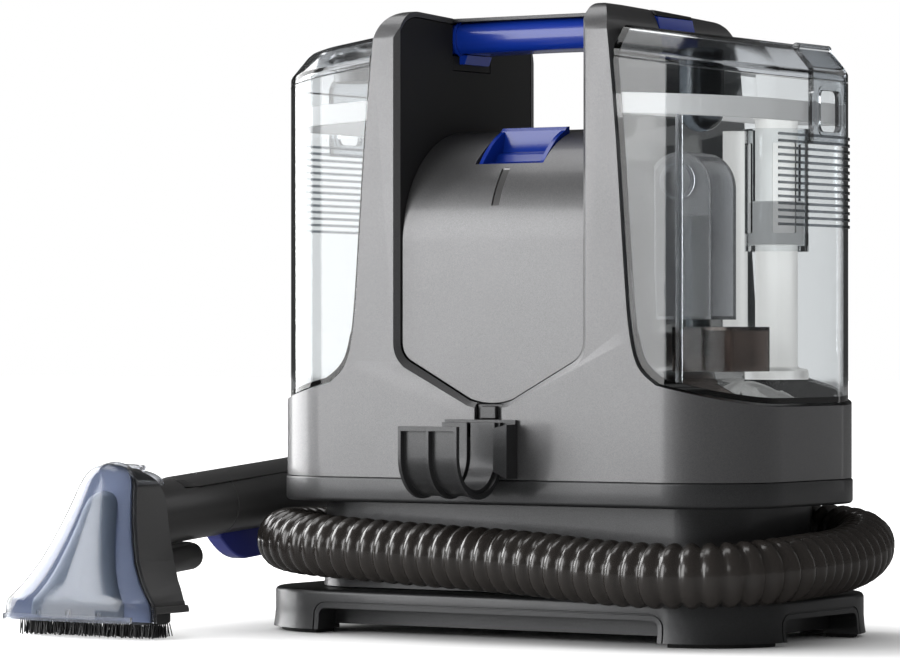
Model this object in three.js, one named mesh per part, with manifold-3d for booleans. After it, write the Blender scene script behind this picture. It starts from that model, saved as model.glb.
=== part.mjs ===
// Spot extractor: a portable spray-and-suction carpet cleaner with two lift-off tanks,
// a through handle, a corrugated hose wound round its neck and a hand tool lying beside it.
// Millimetres, +X to the right, +Y to the back, +Z up. Sizes are given from the machine's own
// centre line, and the last lines move the whole to the centre of its footprint.

import * as THREE from 'three';
import { mergeVertices } from 'three/addons/utils/BufferGeometryUtils.js';
import Module from 'manifold-3d';

const wasm = await Module();
wasm.setup();

// ---------------------------------------------------------------- driving sizes

const GAP = 0.3;                 // clearance between pieces that touch
const WALL = 3;                  // moulded shell thickness
const TANK_WALL = 2.5;

const BODY = { width: 320, depth: 166, corner: 50 };
const BASE = { width: 331, depth: 174, corner: 50, under: 14.4, top: 25, lip: 3 };
const NECK = { width: 278, depth: 124, corner: 33 };
const RING = { bottom: 75, top: 89, proud: 1.2 };
const FOOT = { pad: 2, inset: 9, length: 54, depth: 46 };

const PYLON = { inner: 60.4, frontY: -83, rearY: 62, top: 353 };
const COVER = { half: 57.4, faceY: -79, arc: 65, arcY: -14, arcZ: 221, tipZ: 132, sideZ: 158 };
const SHOULDER = { outerZ: 130, innerZ: 142, innerX: 108 };
// the tanks' seams and lids fall by `fall` from the pylon at innerX to the outer end
const TANK = { inset: 2, innerX: 80, seam: 322, fall: 12, lidTop: 340, bevel: 12 };
const VALVE_AT = [-128, 0];
const LATCH = { pivotX: 151.3, pivotZ: 328.9, y: 15, half: 19 };

const HANDLE = { front: -25, rear: 14, bottom: 325, top: 346, reach: 77.5, arch: 3 };
const HOSE = { radius: 18, sides: 10, steps: 78 };
const TOOL = { x: -203, tilt: THREE.MathUtils.degToRad(4.2), handleR: 18.5 };
const TRIGGER = { pivotY: 116, pivotZ: -13 };
const BRUSH = { y: -176.5, top: 8.8 };

// ---------------------------------------------------------------- materials

const finish = (color, roughness, metalness = 0, opacity = 1) =>
  new THREE.MeshStandardMaterial({ color, roughness, metalness, opacity, transparent: opacity < 1 });

const silver = finish(0x6f7073, 0.38, 0.6);
const charcoal = finish(0x3a3b3e, 0.5);
const black = finish(0x191a1c, 0.45);
const blue = finish(0x0b35b8, 0.25);
const violet = finish(0x3a40a0, 0.35);
const clear = finish(0xb9c2c9, 0.08, 0, 0.3);
const smoke = finish(0x36373a, 0.2);
const grey = finish(0x8d9094, 0.5);
const white = finish(0xd8dadc, 0.5);
const rubber = finish(0x222325, 0.8);
const steel = finish(0xa9abae, 0.3, 1);
const green = finish(0x1d5a36, 0.6);

// ---------------------------------------------------------------- solids

function solid(geometry) {
  const bare = geometry.index ? geometry.toNonIndexed() : geometry.clone();
  bare.deleteAttribute('normal');
  bare.deleteAttribute('uv');
  const merged = mergeVertices(bare, 1e-4);
  return new wasm.Manifold(new wasm.Mesh({
    numProp: 3,
    vertProperties: new Float32Array(merged.attributes.position.array),
    triVerts: new Uint32Array(merged.index.array),
  }));
}

const root = new THREE.Group();

function piece(name, body, material) {
  const mesh = body.getMesh();
  const geometry = new THREE.BufferGeometry();
  geometry.setAttribute('position', new THREE.BufferAttribute(mesh.vertProperties, 3));
  geometry.setIndex(new THREE.BufferAttribute(mesh.triVerts, 1));
  geometry.computeVertexNormals();
  const made = new THREE.Mesh(geometry, material);
  made.name = name;
  root.add(made);
  return made;
}

const union = (...bodies) => bodies.reduce((whole, body) => whole.add(body));
const cut = (body, ...tools) => tools.reduce((left, tool) => left.subtract(tool), body);

function box(x0, x1, y0, y1, z0, z1) {
  const geometry = new THREE.BoxGeometry(x1 - x0, y1 - y0, z1 - z0);
  return solid(geometry.translate((x0 + x1) / 2, (y0 + y1) / 2, (z0 + z1) / 2));
}

// a round bar from one end to the other along 'x', 'y' or 'z', with a second radius for a cone
function bar(axis, from, to, radius, at, sides = 20, endRadius = radius) {
  const geometry = new THREE.CylinderGeometry(endRadius, radius, to - from, sides);
  if (axis === 'x') geometry.rotateZ(-Math.PI / 2);
  if (axis === 'z') geometry.rotateX(Math.PI / 2);
  const middle = (from + to) / 2;
  const [u, v] = at;
  if (axis === 'x') geometry.translate(middle, u, v);
  if (axis === 'y') geometry.translate(u, middle, v);
  if (axis === 'z') geometry.translate(u, v, middle);
  return solid(geometry);
}

function tube(axis, from, to, outer, inner, at, sides = 20) {
  return cut(bar(axis, from, to, outer, at, sides), bar(axis, from - 1, to + 1, inner, at, sides));
}

function roundedShape(width, depth, corner, cx = 0, cy = 0) {
  const x = width / 2;
  const y = depth / 2;
  const shape = new THREE.Shape();
  shape.moveTo(cx - x + corner, cy - y);
  shape.lineTo(cx + x - corner, cy - y);
  shape.absarc(cx + x - corner, cy - y + corner, corner, -Math.PI / 2, 0);
  shape.lineTo(cx + x, cy + y - corner);
  shape.absarc(cx + x - corner, cy + y - corner, corner, 0, Math.PI / 2);
  shape.lineTo(cx - x + corner, cy + y);
  shape.absarc(cx - x + corner, cy + y - corner, corner, Math.PI / 2, Math.PI);
  shape.lineTo(cx - x, cy - y + corner);
  shape.absarc(cx - x + corner, cy - y + corner, corner, Math.PI, Math.PI * 1.5);
  return shape;
}

// an outline in plan, raised from one height to another
function slab(shape, bottom, top, segments = 8) {
  const geometry = new THREE.ExtrudeGeometry(shape, {
    depth: top - bottom, bevelEnabled: false, curveSegments: segments,
  });
  return solid(geometry.translate(0, 0, bottom));
}

// an outline seen from the front (X, Z), carried from front to back
function frontProfile(shape, front, rear, segments = 8) {
  const geometry = new THREE.ExtrudeGeometry(shape, {
    depth: rear - front, bevelEnabled: false, curveSegments: segments,
  });
  return solid(geometry.rotateX(Math.PI / 2).translate(0, rear, 0));
}

// an outline seen from the side (Y, Z), carried from left to right
function sideProfile(shape, left, right, segments = 8) {
  const geometry = new THREE.ExtrudeGeometry(shape, {
    depth: right - left, bevelEnabled: false, curveSegments: segments,
  });
  return solid(geometry.rotateX(Math.PI / 2).rotateZ(Math.PI / 2).translate(left, 0, 0));
}

function shapeOf(points) {
  return new THREE.Shape(points.map(([u, v]) => new THREE.Vector2(u, v)));
}

const mirrored = (body) => body.mirror([1, 0, 0]);

// ---------------------------------------------------------------- base

function baseAndNeck() {
  const outline = (grow) => roundedShape(
    BASE.width + 2 * grow, BASE.depth + 2 * grow, BASE.corner + grow);
  const plate = slab(outline(0), BASE.under, BASE.top);
  const groove = cut(
    slab(outline(1), BASE.under + BASE.lip, BASE.under + BASE.lip + 0.8),
    slab(outline(-0.8), BASE.under, BASE.top));
  const skirt = slab(outline(-FOOT.inset - 8), 5, BASE.under + 1);
  const hollow = slab(outline(-FOOT.inset - 12), 0, BASE.top - WALL);
  const feet = slab(outline(0), FOOT.pad + GAP, BASE.under + 1);
  const footReach = { x: BASE.width / 2 - FOOT.length, y: BASE.depth / 2 - FOOT.depth };
  const kept = cut(
    feet,
    box(-footReach.x, footReach.x, -200, 200, 0, 30),
    box(-200, 200, -footReach.y, footReach.y, 0, 30));
  piece('base_plate', cut(union(plate, skirt, kept), groove, hollow), charcoal);

  const padOutline = slab(outline(-3), 0, FOOT.pad);
  for (const [side, sx] of [['left', -1], ['right', 1]]) {
    for (const [end, sy] of [['front', -1], ['rear', 1]]) {
      const x = [sx * (footReach.x + 3), sx * 200].sort((a, b) => a - b);
      const y = [sy * (footReach.y + 3), sy * 200].sort((a, b) => a - b);
      const corner = box(x[0], x[1], y[0], y[1], -1, FOOT.pad + 1);
      piece(`foot_pad_${end}_${side}`, cut(padOutline.intersect(corner), hollow), rubber);
    }
  }

  const neckOuter = roundedShape(NECK.width, NECK.depth, NECK.corner);
  const neckInner = roundedShape(
    NECK.width - 2 * WALL, NECK.depth - 2 * WALL, NECK.corner - WALL);
  const portHole = box(45, 75, NECK.depth / 2 - 6, NECK.depth / 2 + 5, 42, 72);
  piece('neck_shell', cut(
    slab(neckOuter, BASE.top + GAP, RING.bottom - GAP),
    slab(neckInner, BASE.top - 1, RING.bottom + 1),
    portHole), charcoal);

  const ring = slab(
    roundedShape(BODY.width + RING.proud, BODY.depth + RING.proud, BODY.corner),
    RING.bottom, RING.top);
  piece('ring_band', cut(ring, slab(neckInner, RING.bottom - 1, RING.top + 1)), charcoal);
}

// ---------------------------------------------------------------- body shell and pylons

// the outer edge of a pylon, from the shoulder up to its top corner
function pylonEdge(offset) {
  const edge = [
    [SHOULDER.innerX, SHOULDER.innerZ], [99, 149], [94, 158], [90.5, 175],
    [88, 202], [85.5, 237], [83, 273], [80, 308], [77.5, 333],
  ];
  return edge.map(([x, z]) => [x + offset, z]);
}

// the right half of the silver body as seen from the front, shrunk inwards by offset
function bodyHalf(offset) {
  const inner = PYLON.inner - (offset ? 2 * offset : 0);
  const top = PYLON.top - offset;
  const shape = new THREE.Shape();
  shape.moveTo(0, RING.top + GAP - (offset ? 5 : 0));
  shape.lineTo(BODY.width / 2 + 1, RING.top + GAP - (offset ? 5 : 0));
  shape.lineTo(BODY.width / 2 + 1, SHOULDER.outerZ - offset);
  for (const [x, z] of pylonEdge(-offset)) {
    shape.lineTo(x, x > 90 ? z - offset : z);
  }
  shape.quadraticCurveTo(76 - offset, top - 1, 64, top);
  shape.lineTo(inner, top);
  shape.lineTo(inner, COVER.sideZ);
  shape.lineTo(14, COVER.tipZ + 1.2);
  shape.quadraticCurveTo(6, COVER.tipZ - 1, 0, COVER.tipZ - 1);
  return shape;
}

function bodyShell() {
  const plan = (inset) => slab(
    roundedShape(BODY.width - 2 * inset, BODY.depth - 2 * inset, BODY.corner - inset),
    RING.top - 10, PYLON.top + 10);
  const half = frontProfile(bodyHalf(0), -100, 100);
  const hollowHalf = frontProfile(bodyHalf(WALL), -100, 100);
  const outer = union(half, mirrored(half)).intersect(plan(0));
  const inner = union(hollowHalf, mirrored(hollowHalf)).intersect(plan(WALL));
  // above the shoulders the pylons stop short of the back of the machine
  const upper = box(-SHOULDER.innerX, SHOULDER.innerX, PYLON.rearY, 100, SHOULDER.innerZ + 8, 400);
  const upperInner = box(-120, 120, PYLON.rearY - WALL, 100, SHOULDER.innerZ + 5, 400);
  const shell = cut(
    cut(outer, upper).intersect(crown(0)),
    cut(inner, upperInner).intersect(crown(WALL)),
    handleNotch(1), handleNotch(-1), cradleSeat(), bar('z', 120, 160, 9, VALVE_AT, 20));
  piece('body_shell', shell, silver);

  for (const [side, sign] of [['left', -1], ['right', 1]]) {
    const x = [sign * PYLON.inner, sign * (PYLON.inner + 2.6)].sort((a, b) => a - b);
    const panel = box(x[0], x[1], -79.6, PYLON.rearY - WALL - 0.4, COVER.sideZ + 6, PYLON.top)
      .intersect(crown(WALL + 0.4));
    piece(`pylon_liner_${side}`, cut(panel, handleNotch(sign)), charcoal);
  }
}

// everything under the pylons' tops, which lean back at the front corner and fall gently
// to a round rear corner
function crown(lower) {
  const side = new THREE.Shape();
  side.moveTo(-100, 0);
  side.lineTo(100, 0);
  side.lineTo(100, 300);
  side.lineTo(PYLON.rearY + 1, 300);
  side.lineTo(PYLON.rearY, 330);
  side.quadraticCurveTo(PYLON.rearY - 2, 347, 42, 348);
  side.lineTo(-62, PYLON.top);
  side.quadraticCurveTo(-78, PYLON.top, PYLON.frontY, 337);
  side.lineTo(-100, 300);
  return sideProfile(side, -200, 200, 5).translate([0, 0, -lower]);
}

// the opening in each pylon that the handle's end passes through
function handleNotch(sign) {
  const x = [sign * (PYLON.inner - 5), sign * 120].sort((a, b) => a - b);
  return box(x[0], x[1], HANDLE.front - GAP, HANDLE.rear + GAP, HANDLE.bottom - 3.3, 400);
}

// ---------------------------------------------------------------- handle

function handle() {
  const { reach } = HANDLE;
  const grip = new THREE.Shape();
  grip.moveTo(-reach, HANDLE.bottom - 3);
  grip.quadraticCurveTo(0, HANDLE.bottom + HANDLE.arch, reach, HANDLE.bottom - 3);
  grip.lineTo(reach - 2, HANDLE.top - 3);
  grip.quadraticCurveTo(0, HANDLE.top + HANDLE.arch, -reach + 2, HANDLE.top - 3);
  piece('handle_grip',
    frontProfile(grip, HANDLE.front, HANDLE.rear, 10).intersect(gripSection()), blue);

  const strap = new THREE.Shape();
  strap.moveTo(-reach + 2, HANDLE.top - 2.6);
  strap.quadraticCurveTo(0, HANDLE.top + HANDLE.arch + 0.4, reach - 2, HANDLE.top - 2.6);
  strap.lineTo(reach - 7, HANDLE.top + 3.5);
  strap.quadraticCurveTo(0, HANDLE.top + HANDLE.arch + 5, -reach + 7, HANDLE.top + 3.5);
  piece('handle_strap', frontProfile(strap, HANDLE.front, HANDLE.rear, 10), charcoal);
}

// the grip's rounded underside, seen from the side
function gripSection() {
  const shape = new THREE.Shape();
  const mid = (HANDLE.front + HANDLE.rear) / 2;
  const half = (HANDLE.rear - HANDLE.front) / 2;
  shape.moveTo(mid - half, 360);
  shape.lineTo(mid - half, 336);
  shape.quadraticCurveTo(mid - half, HANDLE.bottom - 3, mid - half + 10, HANDLE.bottom - 3.2);
  shape.lineTo(mid + half - 10, HANDLE.bottom - 3.2);
  shape.quadraticCurveTo(mid + half, HANDLE.bottom - 3, mid + half, 336);
  shape.lineTo(mid + half, 360);
  return sideProfile(shape, -100, 100, 5);
}

// ---------------------------------------------------------------- centre and rear covers

// the domed cover's outline from the side, with its back edge at the top seam
function domeSide(inset, seamY) {
  const shape = new THREE.Shape();
  const face = COVER.faceY + inset;
  shape.moveTo(face, 100);
  shape.lineTo(face, COVER.arcZ);
  shape.absarc(COVER.arcY, COVER.arcZ, COVER.arc - inset, Math.PI, Math.PI / 2, true);
  shape.lineTo(seamY, COVER.arcZ + COVER.arc - inset);
  shape.lineTo(seamY, 100);
  return shape;
}

function shield(inset) {
  const half = COVER.half - inset;
  const shape = new THREE.Shape();
  shape.moveTo(-half, 320);
  shape.lineTo(-half, COVER.sideZ + inset);
  shape.lineTo(-14, COVER.tipZ + 2.4 + inset);
  shape.quadraticCurveTo(0, COVER.tipZ - 2.4 + inset, 14, COVER.tipZ + 2.4 + inset);
  shape.lineTo(half, COVER.sideZ + inset);
  shape.lineTo(half, 320);
  return shape;
}

const LEVER = { half: 21.4, frontY: -60, rearY: -31 };

function covers() {
  const seam = COVER.arcY + 4;
  const skin = cut(
    sideProfile(domeSide(0, seam), -COVER.half, COVER.half, 12),
    sideProfile(domeSide(WALL, seam + 5), -COVER.half - 1, COVER.half + 1, 12));
  const leverWell = box(
    -LEVER.half - 1, LEVER.half + 1, LEVER.frontY - 1, LEVER.rearY + 1, 240, 300);
  const lampSlot = box(-2.6, 2.6, -75.5, -63.5, 240, 262);
  piece('centre_cover', cut(
    skin.intersect(frontProfile(shield(0), -100, 40)), leverWell, lampSlot), silver);

  const rearSeam = -seam - GAP;
  const rearSkin = cut(
    sideProfile(domeSide(0, rearSeam), -COVER.half, COVER.half, 12),
    sideProfile(domeSide(WALL, rearSeam + 60), -COVER.half - 1, COVER.half + 1, 12));
  // past the pylons' backs the rear cover closes its own sides
  const cheek = sideProfile(domeSide(0, rearSeam), -COVER.half, -COVER.half + WALL, 12)
    .intersect(box(-100, 100, -200, -PYLON.rearY + 1, 100, 400));
  let rear = union(rearSkin, cheek, mirrored(cheek))
    .intersect(frontProfile(shield(0), -100, 100)).mirror([0, 1, 0]);
  const slots = { count: 9, pitch: 8, low: 168, half: 40, high: 3.4 };
  for (let i = 0; i < slots.count; i += 1) {
    const z = slots.low + i * slots.pitch;
    rear = cut(rear, box(-slots.half, slots.half, 60, 100, z, z + slots.high));
  }
  rear = cut(rear, box(-16, 16, 60, 100, 142, 160));
  piece('rear_cover', rear, silver);
  piece('power_inlet', union(
    box(-15.7, 15.7, 68, 80.5, 142.3, 159.7),
    bar('y', 80, 92, 7, [0, 151], 16, 5)), black);
}

// the blue rocker in the dome's shoulder: a sunken tray with a lip at the front
function rocker() {
  const side = new THREE.Shape();
  side.moveTo(LEVER.frontY, 261.5);
  side.lineTo(LEVER.frontY + 2, 265);
  side.lineTo(LEVER.frontY + 5.5, 267);
  side.lineTo(-47, 266.5);
  side.lineTo(-43, 271.5);
  side.lineTo(-38, 273);
  side.lineTo(-35.5, 285);
  side.lineTo(LEVER.rearY, 287);
  side.lineTo(LEVER.rearY, 281);
  side.lineTo(-34, 268);
  side.lineTo(-44, 262);
  side.lineTo(-56, 257.5);
  const tray = sideProfile(side, -LEVER.half, LEVER.half, 4);
  let cheeks = sideProfile(shapeOf([
    [LEVER.frontY, 261.5], [-52, 273], [-43, 280.5], [LEVER.rearY, 286.5],
    [LEVER.rearY, 281], [-34, 268], [-44, 262], [-56, 257.5],
  ]), -LEVER.half, -LEVER.half + 2.4, 4);
  cheeks = union(cheeks, mirrored(cheeks));
  const hub = tube('x', -13, 13, 4, 1.8, [-36, 266], 14);
  const pinHole = bar('x', -30, 30, 1.8, [-36, 266], 14);
  piece('power_rocker', cut(union(tray, cheeks, hub), pinHole), blue);
  piece('rocker_pin', bar('x', -19, 19, 1.5, [-36, 266], 12), steel);
  piece('status_lamp', box(-2.3, 2.3, -74, -66, 247, 256.5), black);
  piece('switch_block', box(-9, 9, -58, -42, 232, 250), black);
}

// ---------------------------------------------------------------- hose and tool cradle

const CRADLE = {
  left: -27, right: 11.5, plateRight: 19.5, rearY: -85.6, frontY: -133, low: 79, high: 121,
};

function cradleSeat() {
  return box(-9, 9, -90, -74, COVER.tipZ - 10, COVER.tipZ - 0.5);
}

function cradle() {
  const outer = new THREE.Shape();
  const mid = (CRADLE.rearY + CRADLE.frontY) / 2;
  const reach = (CRADLE.rearY - CRADLE.frontY) / 2;
  const ring = (radius, shape) => {
    shape.moveTo(mid + radius, CRADLE.high);
    shape.lineTo(mid + radius, CRADLE.low + reach);
    shape.absarc(mid, CRADLE.low + reach, radius, 0, Math.PI, true);
    shape.lineTo(mid - radius, CRADLE.high - 8);
    return shape;
  };
  ring(reach, outer);
  const inner = ring(reach - 3, new THREE.Shape());
  inner.lineTo(mid - reach + 3, CRADLE.high + 10);
  inner.lineTo(mid + reach - 3, CRADLE.high + 10);
  let body = sideProfile(outer, CRADLE.left, CRADLE.right, 12);
  const pitch = (CRADLE.right - CRADLE.left - 2) / 2;
  for (let i = 0; i < 2; i += 1) {
    const from = CRADLE.left + 3.4 + i * pitch;
    const waist = ring(reach + 5, new THREE.Shape());
    const band = cut(
      sideProfile(waist, from, from + pitch - 4.6, 12),
      sideProfile(ring(reach - 1.6, new THREE.Shape()), from - 1, from + pitch, 12));
    body = cut(body, band.intersect(box(-60, 60, -200, CRADLE.rearY - 8, 0, 200)));
  }
  body = cut(body, sideProfile(inner, CRADLE.left - 1, CRADLE.right + 1, 12));
  const plate = box(
    CRADLE.left, CRADLE.plateRight, CRADLE.rearY, CRADLE.rearY + 2.3, RING.top + 1, 122.5);
  const gusset = box(CRADLE.right - 1, CRADLE.plateRight, CRADLE.rearY - 9, CRADLE.rearY + 1, 92, 118);
  piece('tool_cradle', union(body, plate, gusset), charcoal);
  piece('cradle_stub', union(
    box(-8.7, 8.7, -80, -78, 122.4, 131.2), box(-5, 5, -83, -79, 123, 130)), charcoal);
}

// ---------------------------------------------------------------- tanks

// the region outside the right pylon between two lines that fall towards the outer end;
// with no lower line it ends on the body's shoulder
function besidePylon(low, high, offset) {
  const shape = new THREE.Shape();
  const outerX = BODY.width / 2 + 2;
  const clearance = 0.8 + offset;
  if (low === null) {
    shape.moveTo(outerX, SHOULDER.outerZ + clearance);
    for (const [x, z] of pylonEdge(clearance).filter((point) => point[1] < 325)) {
      shape.lineTo(x, x > 95 ? z + clearance : z);
    }
  } else {
    shape.moveTo(outerX, low - TANK.fall);
    shape.lineTo(TANK.innerX + offset, low);
  }
  shape.lineTo(TANK.innerX + (low === null ? clearance - 0.5 : offset), high);
  shape.lineTo(outerX, high - TANK.fall);
  return frontProfile(shape, -100, 100);
}

function tankPlan(inset) {
  const shrink = TANK.inset + inset;
  return slab(roundedShape(
    BODY.width - 2 * shrink, BODY.depth - 2 * shrink, BODY.corner - shrink), 100, 400);
}

function tankBody() {
  return cut(
    besidePylon(null, TANK.seam, 0).intersect(tankPlan(0)),
    besidePylon(null, TANK.seam + 20, TANK_WALL).intersect(tankPlan(TANK_WALL)));
}

// a bevelled block in plan whose top falls with the seam, hollow from below
function tankLid() {
  const shape = roundedShape(
    BODY.width - 2 * TANK.inset + 1.2, BODY.depth - 2 * TANK.inset + 1.2, BODY.corner - TANK.inset);
  const fallingBlock = (inset, top) => {
    const height = 60;
    const geometry = new THREE.ExtrudeGeometry(shape, {
      depth: height, bevelEnabled: true, bevelThickness: TANK.bevel, bevelSize: TANK.bevel,
      bevelOffset: -TANK.bevel - inset, bevelSegments: 1, curveSegments: 8,
    });
    const place = geometry.attributes.position;
    const slope = TANK.fall / (BODY.width / 2 + 2 - TANK.innerX);
    for (let i = 0; i < place.count; i += 1) {
      const drop = slope * (place.getX(i) - TANK.innerX);
      place.setZ(i, place.getZ(i) + top - height - TANK.bevel - drop);
    }
    return solid(geometry);
  };
  const block = fallingBlock(0, TANK.lidTop)
    .intersect(besidePylon(TANK.seam + GAP, TANK.lidTop + 10, 0));
  const hollow = fallingBlock(2.6, TANK.lidTop - 2.6)
    .intersect(besidePylon(TANK.seam - 5, TANK.lidTop + 10, 2.6));
  return cut(block, hollow);
}

// a flat seal lying just inside the tank's mouth
function mouthSeal() {
  const top = TANK.seam - 0.9;
  const deep = 7.5;
  return cut(
    besidePylon(top - deep, top, TANK_WALL + 1.2).intersect(tankPlan(TANK_WALL + GAP)),
    besidePylon(top - deep - 9, top + 9, TANK_WALL + 5.5).intersect(tankPlan(TANK_WALL + 5)));
}

function cleanTank() {
  const fillAt = [-122, -30];
  const hole = bar('z', 100, 150, 7, VALVE_AT, 20);
  piece('clean_tank', cut(mirrored(tankBody()), hole), clear);
  const capHole = bar('z', 300, 380, 18.6, fillAt, 24);
  piece('clean_lid', cut(mirrored(tankLid()), capHole), clear);
  piece('clean_seal', mirrored(mouthSeal()), grey);
  piece('fill_cap', union(
    bar('z', 316, 330, 14.5, fillAt, 24),
    bar('z', 329.6, 334, 18, fillAt, 24),
    box(fillAt[0] - 13, fillAt[0] + 13, fillAt[1] - 2, fillAt[1] + 2, 333, 335.6)), charcoal);
  piece('clean_valve', union(
    bar('z', 134, 156, 4, VALVE_AT, 16),
    bar('z', 144.5, 148, 11, VALVE_AT, 20)), charcoal);
  piece('clean_latch', mirrored(latchSolid()), clear);
}

// the U-shaped catch over the outer end of a lid: a barrel above the bevel, a strap lying
// along the bevel and a looped plate hanging past the rim
function latchSolid() {
  const { pivotX, pivotZ, half } = LATCH;
  const strap = frontProfile(shapeOf([
    [149.6, 327.3], [158.9, 316.5], [159.1, 316], [159.1, 275], [162.4, 275],
    [162.4, 316.4], [161.3, 318.5], [pivotX + 0.4, pivotZ + 0.4],
  ]), -half, half);
  const window = box(150, 170, -half + 7.5, half - 7.5, 282, 305);
  const barrel = bar('y', -half, half, 2.3, [pivotX, pivotZ], 14);
  return cut(union(strap, barrel), window).translate([0, LATCH.y, 0]);
}

function wasteTank() {
  piece('waste_tank', tankBody(), clear);
  piece('waste_lid', tankLid(), clear);
  piece('waste_seal', mouthSeal(), grey);
  piece('waste_latch', latchSolid(), clear);

  const pipeAt = [132, 8];
  piece('standpipe', cut(
    union(
      bar('z', 150, 298, 11, pipeAt, 24),
      bar('z', 144.8, 150.5, 17, pipeAt, 24),
      bar('z', 290, 298.5, 16, pipeAt, 24)),
    bar('z', 130, 302, 9, pipeAt, 24)), grey);

  // the float rides on the standpipe inside a slotted cage
  let cage = tube('z', 216, 284, 17, 15.2, pipeAt, 24);
  for (let i = 0; i < 4; i += 1) {
    const angle = i * Math.PI / 2 + Math.PI / 4;
    const x = pipeAt[0] + 16 * Math.cos(angle);
    const y = pipeAt[1] + 16 * Math.sin(angle);
    cage = cut(cage, bar('z', 226, 276, 6, [x, y], 10));
  }
  cage = union(cage, tube('z', 216, 219, 16, 11.3, pipeAt, 24));
  piece('float_cage', cage, clear);
  piece('float', tube('z', 219.4, 244, 14.7, 11.6, pipeAt, 24), white);

  // the separator tower is a pill in plan, with a round port and a partition in front
  const towerAt = [114, -40];
  const pill = (grow) => roundedShape(30 + grow, 34 + grow, 14 + grow / 2, ...towerAt);
  const portAt = [towerAt[0], 268];
  piece('separator_tower', cut(
    union(
      slab(pill(0), 176, 300, 6),
      bar('y', towerAt[1] - 20, towerAt[1] - 10, 9, portAt, 24),
      box(99.2, 101.6, -68, towerAt[1], 176, 300)),
    slab(pill(-4), 180, 310, 6),
    bar('y', towerAt[1] - 30, towerAt[1] - 5, 6.5, portAt, 20)), grey);
  piece('splash_baffle', union(
    box(108, 143, -60, -57.6, 149.5, 174),
    box(108, 110.4, -60, -36, 149.5, 174),
    box(140.6, 143, -60, -36, 149.5, 174)), black);
}

// ---------------------------------------------------------------- inside the body

function motorGroup() {
  piece('motor_mount', cut(
    union(slab(roundedShape(108, 108, 16), 106, 110), tube('z', 109, 146, 51, 47.5, [0, 0], 32)),
    bar('z', 100, 112, 14, [0, 0], 24)), black);
  const impeller = [bar('z', 116, 118.4, 44, [0, 0], 32), bar('z', 118, 134, 9, [0, 0], 20)];
  for (let i = 0; i < 9; i += 1) {
    const blade = box(8, 43, -1.2, 1.2, 118, 128).rotate([0, 0, i * 40]);
    impeller.push(blade);
  }
  piece('impeller', cut(union(...impeller), bar('z', 110, 140, 4.3, [0, 0], 16)), grey);
  piece('vacuum_motor', union(
    bar('z', 150, 212, 39, [0, 0], 32),
    bar('z', 146.4, 150.5, 50.5, [0, 0], 32),
    bar('z', 211, 222, 24, [0, 0], 24),
    bar('z', 113, 147, 4, [0, 0], 16)), black);
  piece('suction_duct', union(
    box(-14, 14, -34, 34, 224, 238),
    box(13, 56, 4, 26, 226, 238)), black);
  piece('pump', union(
    box(-104, -58, -18, 18, 31, 66),
    bar('x', -58.5, -34, 13, [0, 48], 20),
    bar('z', 65, 84, 5, [-92, 0], 14)), grey);
  piece('pump_cradle', cut(
    box(-108, -30, -26, 26, BASE.top + GAP, 44),
    box(-104.4, -29, -18.4, 18.4, 30.6, 50)), black);
  piece('control_board', box(52, 104, -36, 20, 46, 47.8), green);
  piece('board_tray', cut(
    box(46, 110, -42, 26, BASE.top + GAP, 45.6),
    box(49, 107, -39, 23, 28, 50)), black);
}

// ---------------------------------------------------------------- hose

const PORT = { x: 92, y: 84, z: 55.5, cuff: 16, radius: 18.8 };

// the route runs from the port round the right side, the front and the left side,
// turns in one wide loop on the floor behind the machine and comes back to the tool
const ROUTE = [
  [109.2, 84, 55.5], [123, 84.5, 55.2], [140, 80, 54], [154, 69, 52], [163, 51, 49.5],
  [168.5, 28, 46.5], [170.5, 2, 44.2], [171.5, -26, 43.6], [171, -50, 42.6], [163, -72, 41.2],
  [148, -89, 40.2], [126, -98.5, 39.8], [100, -100.5, 40.2], [72, -99, 41.5], [40, -96, 43.8],
  [6, -93, 45.2], [-30, -91, 46.5], [-66, -90.5, 48], [-98, -88.5, 49.5], [-124, -81, 50.5],
  [-147, -66, 51.5], [-161, -43, 51.5], [-166.5, -14, 51], [-165.5, 20, 49.5],
  [-160, 54, 46.5], [-149, 92, 41.5], [-127, 126, 28], [-96, 152, 19], [-64, 186, 18.6],
  [-52, 228, 18.6], [-66, 270, 18.6], [-102, 298, 18.6], [-148, 302, 18.6],
  [-190, 282, 18.6], [-214, 246, 19], [-221, 208, 27], [-217, 170, 46], [-209, 136, 67],
  [-204, 108, 80.5], [-203, 89, 82.4],
];

function hose() {
  const curve = new THREE.CatmullRomCurve3(
    ROUTE.map(([x, y, z]) => new THREE.Vector3(x, y, z)), false, 'centripetal');
  const section = new THREE.Shape();
  for (let i = 0; i < HOSE.sides; i += 1) {
    const angle = (i / HOSE.sides) * Math.PI * 2;
    const u = HOSE.radius * Math.cos(angle);
    const v = HOSE.radius * Math.sin(angle);
    if (i === 0) section.moveTo(u, v);
    else section.lineTo(u, v);
  }
  piece('suction_hose', solid(new THREE.ExtrudeGeometry(section, {
    steps: HOSE.steps, bevelEnabled: false, extrudePath: curve,
  })), smoke);
  piece('hose_cuff', bar(
    'x', PORT.x, PORT.x + PORT.cuff, PORT.radius, [PORT.y, PORT.z], 24, PORT.radius - 0.4), black);
  const flangeHalf = 23.5;
  piece('hose_port', union(
    bar('x', PORT.x - 22, PORT.x - GAP, PORT.radius, [PORT.y, PORT.z], 24),
    bar('y', NECK.depth / 2 + GAP, PORT.y, 14, [60, PORT.z], 24),
    bar('x', 46, PORT.x - 20, 14, [PORT.y, PORT.z], 24),
    box(60 - flangeHalf, 60 + flangeHalf, NECK.depth / 2 + GAP, NECK.depth / 2 + WALL,
      PORT.z - 15, PORT.z + 15)), black);
}

// ---------------------------------------------------------------- hand tool

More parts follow.
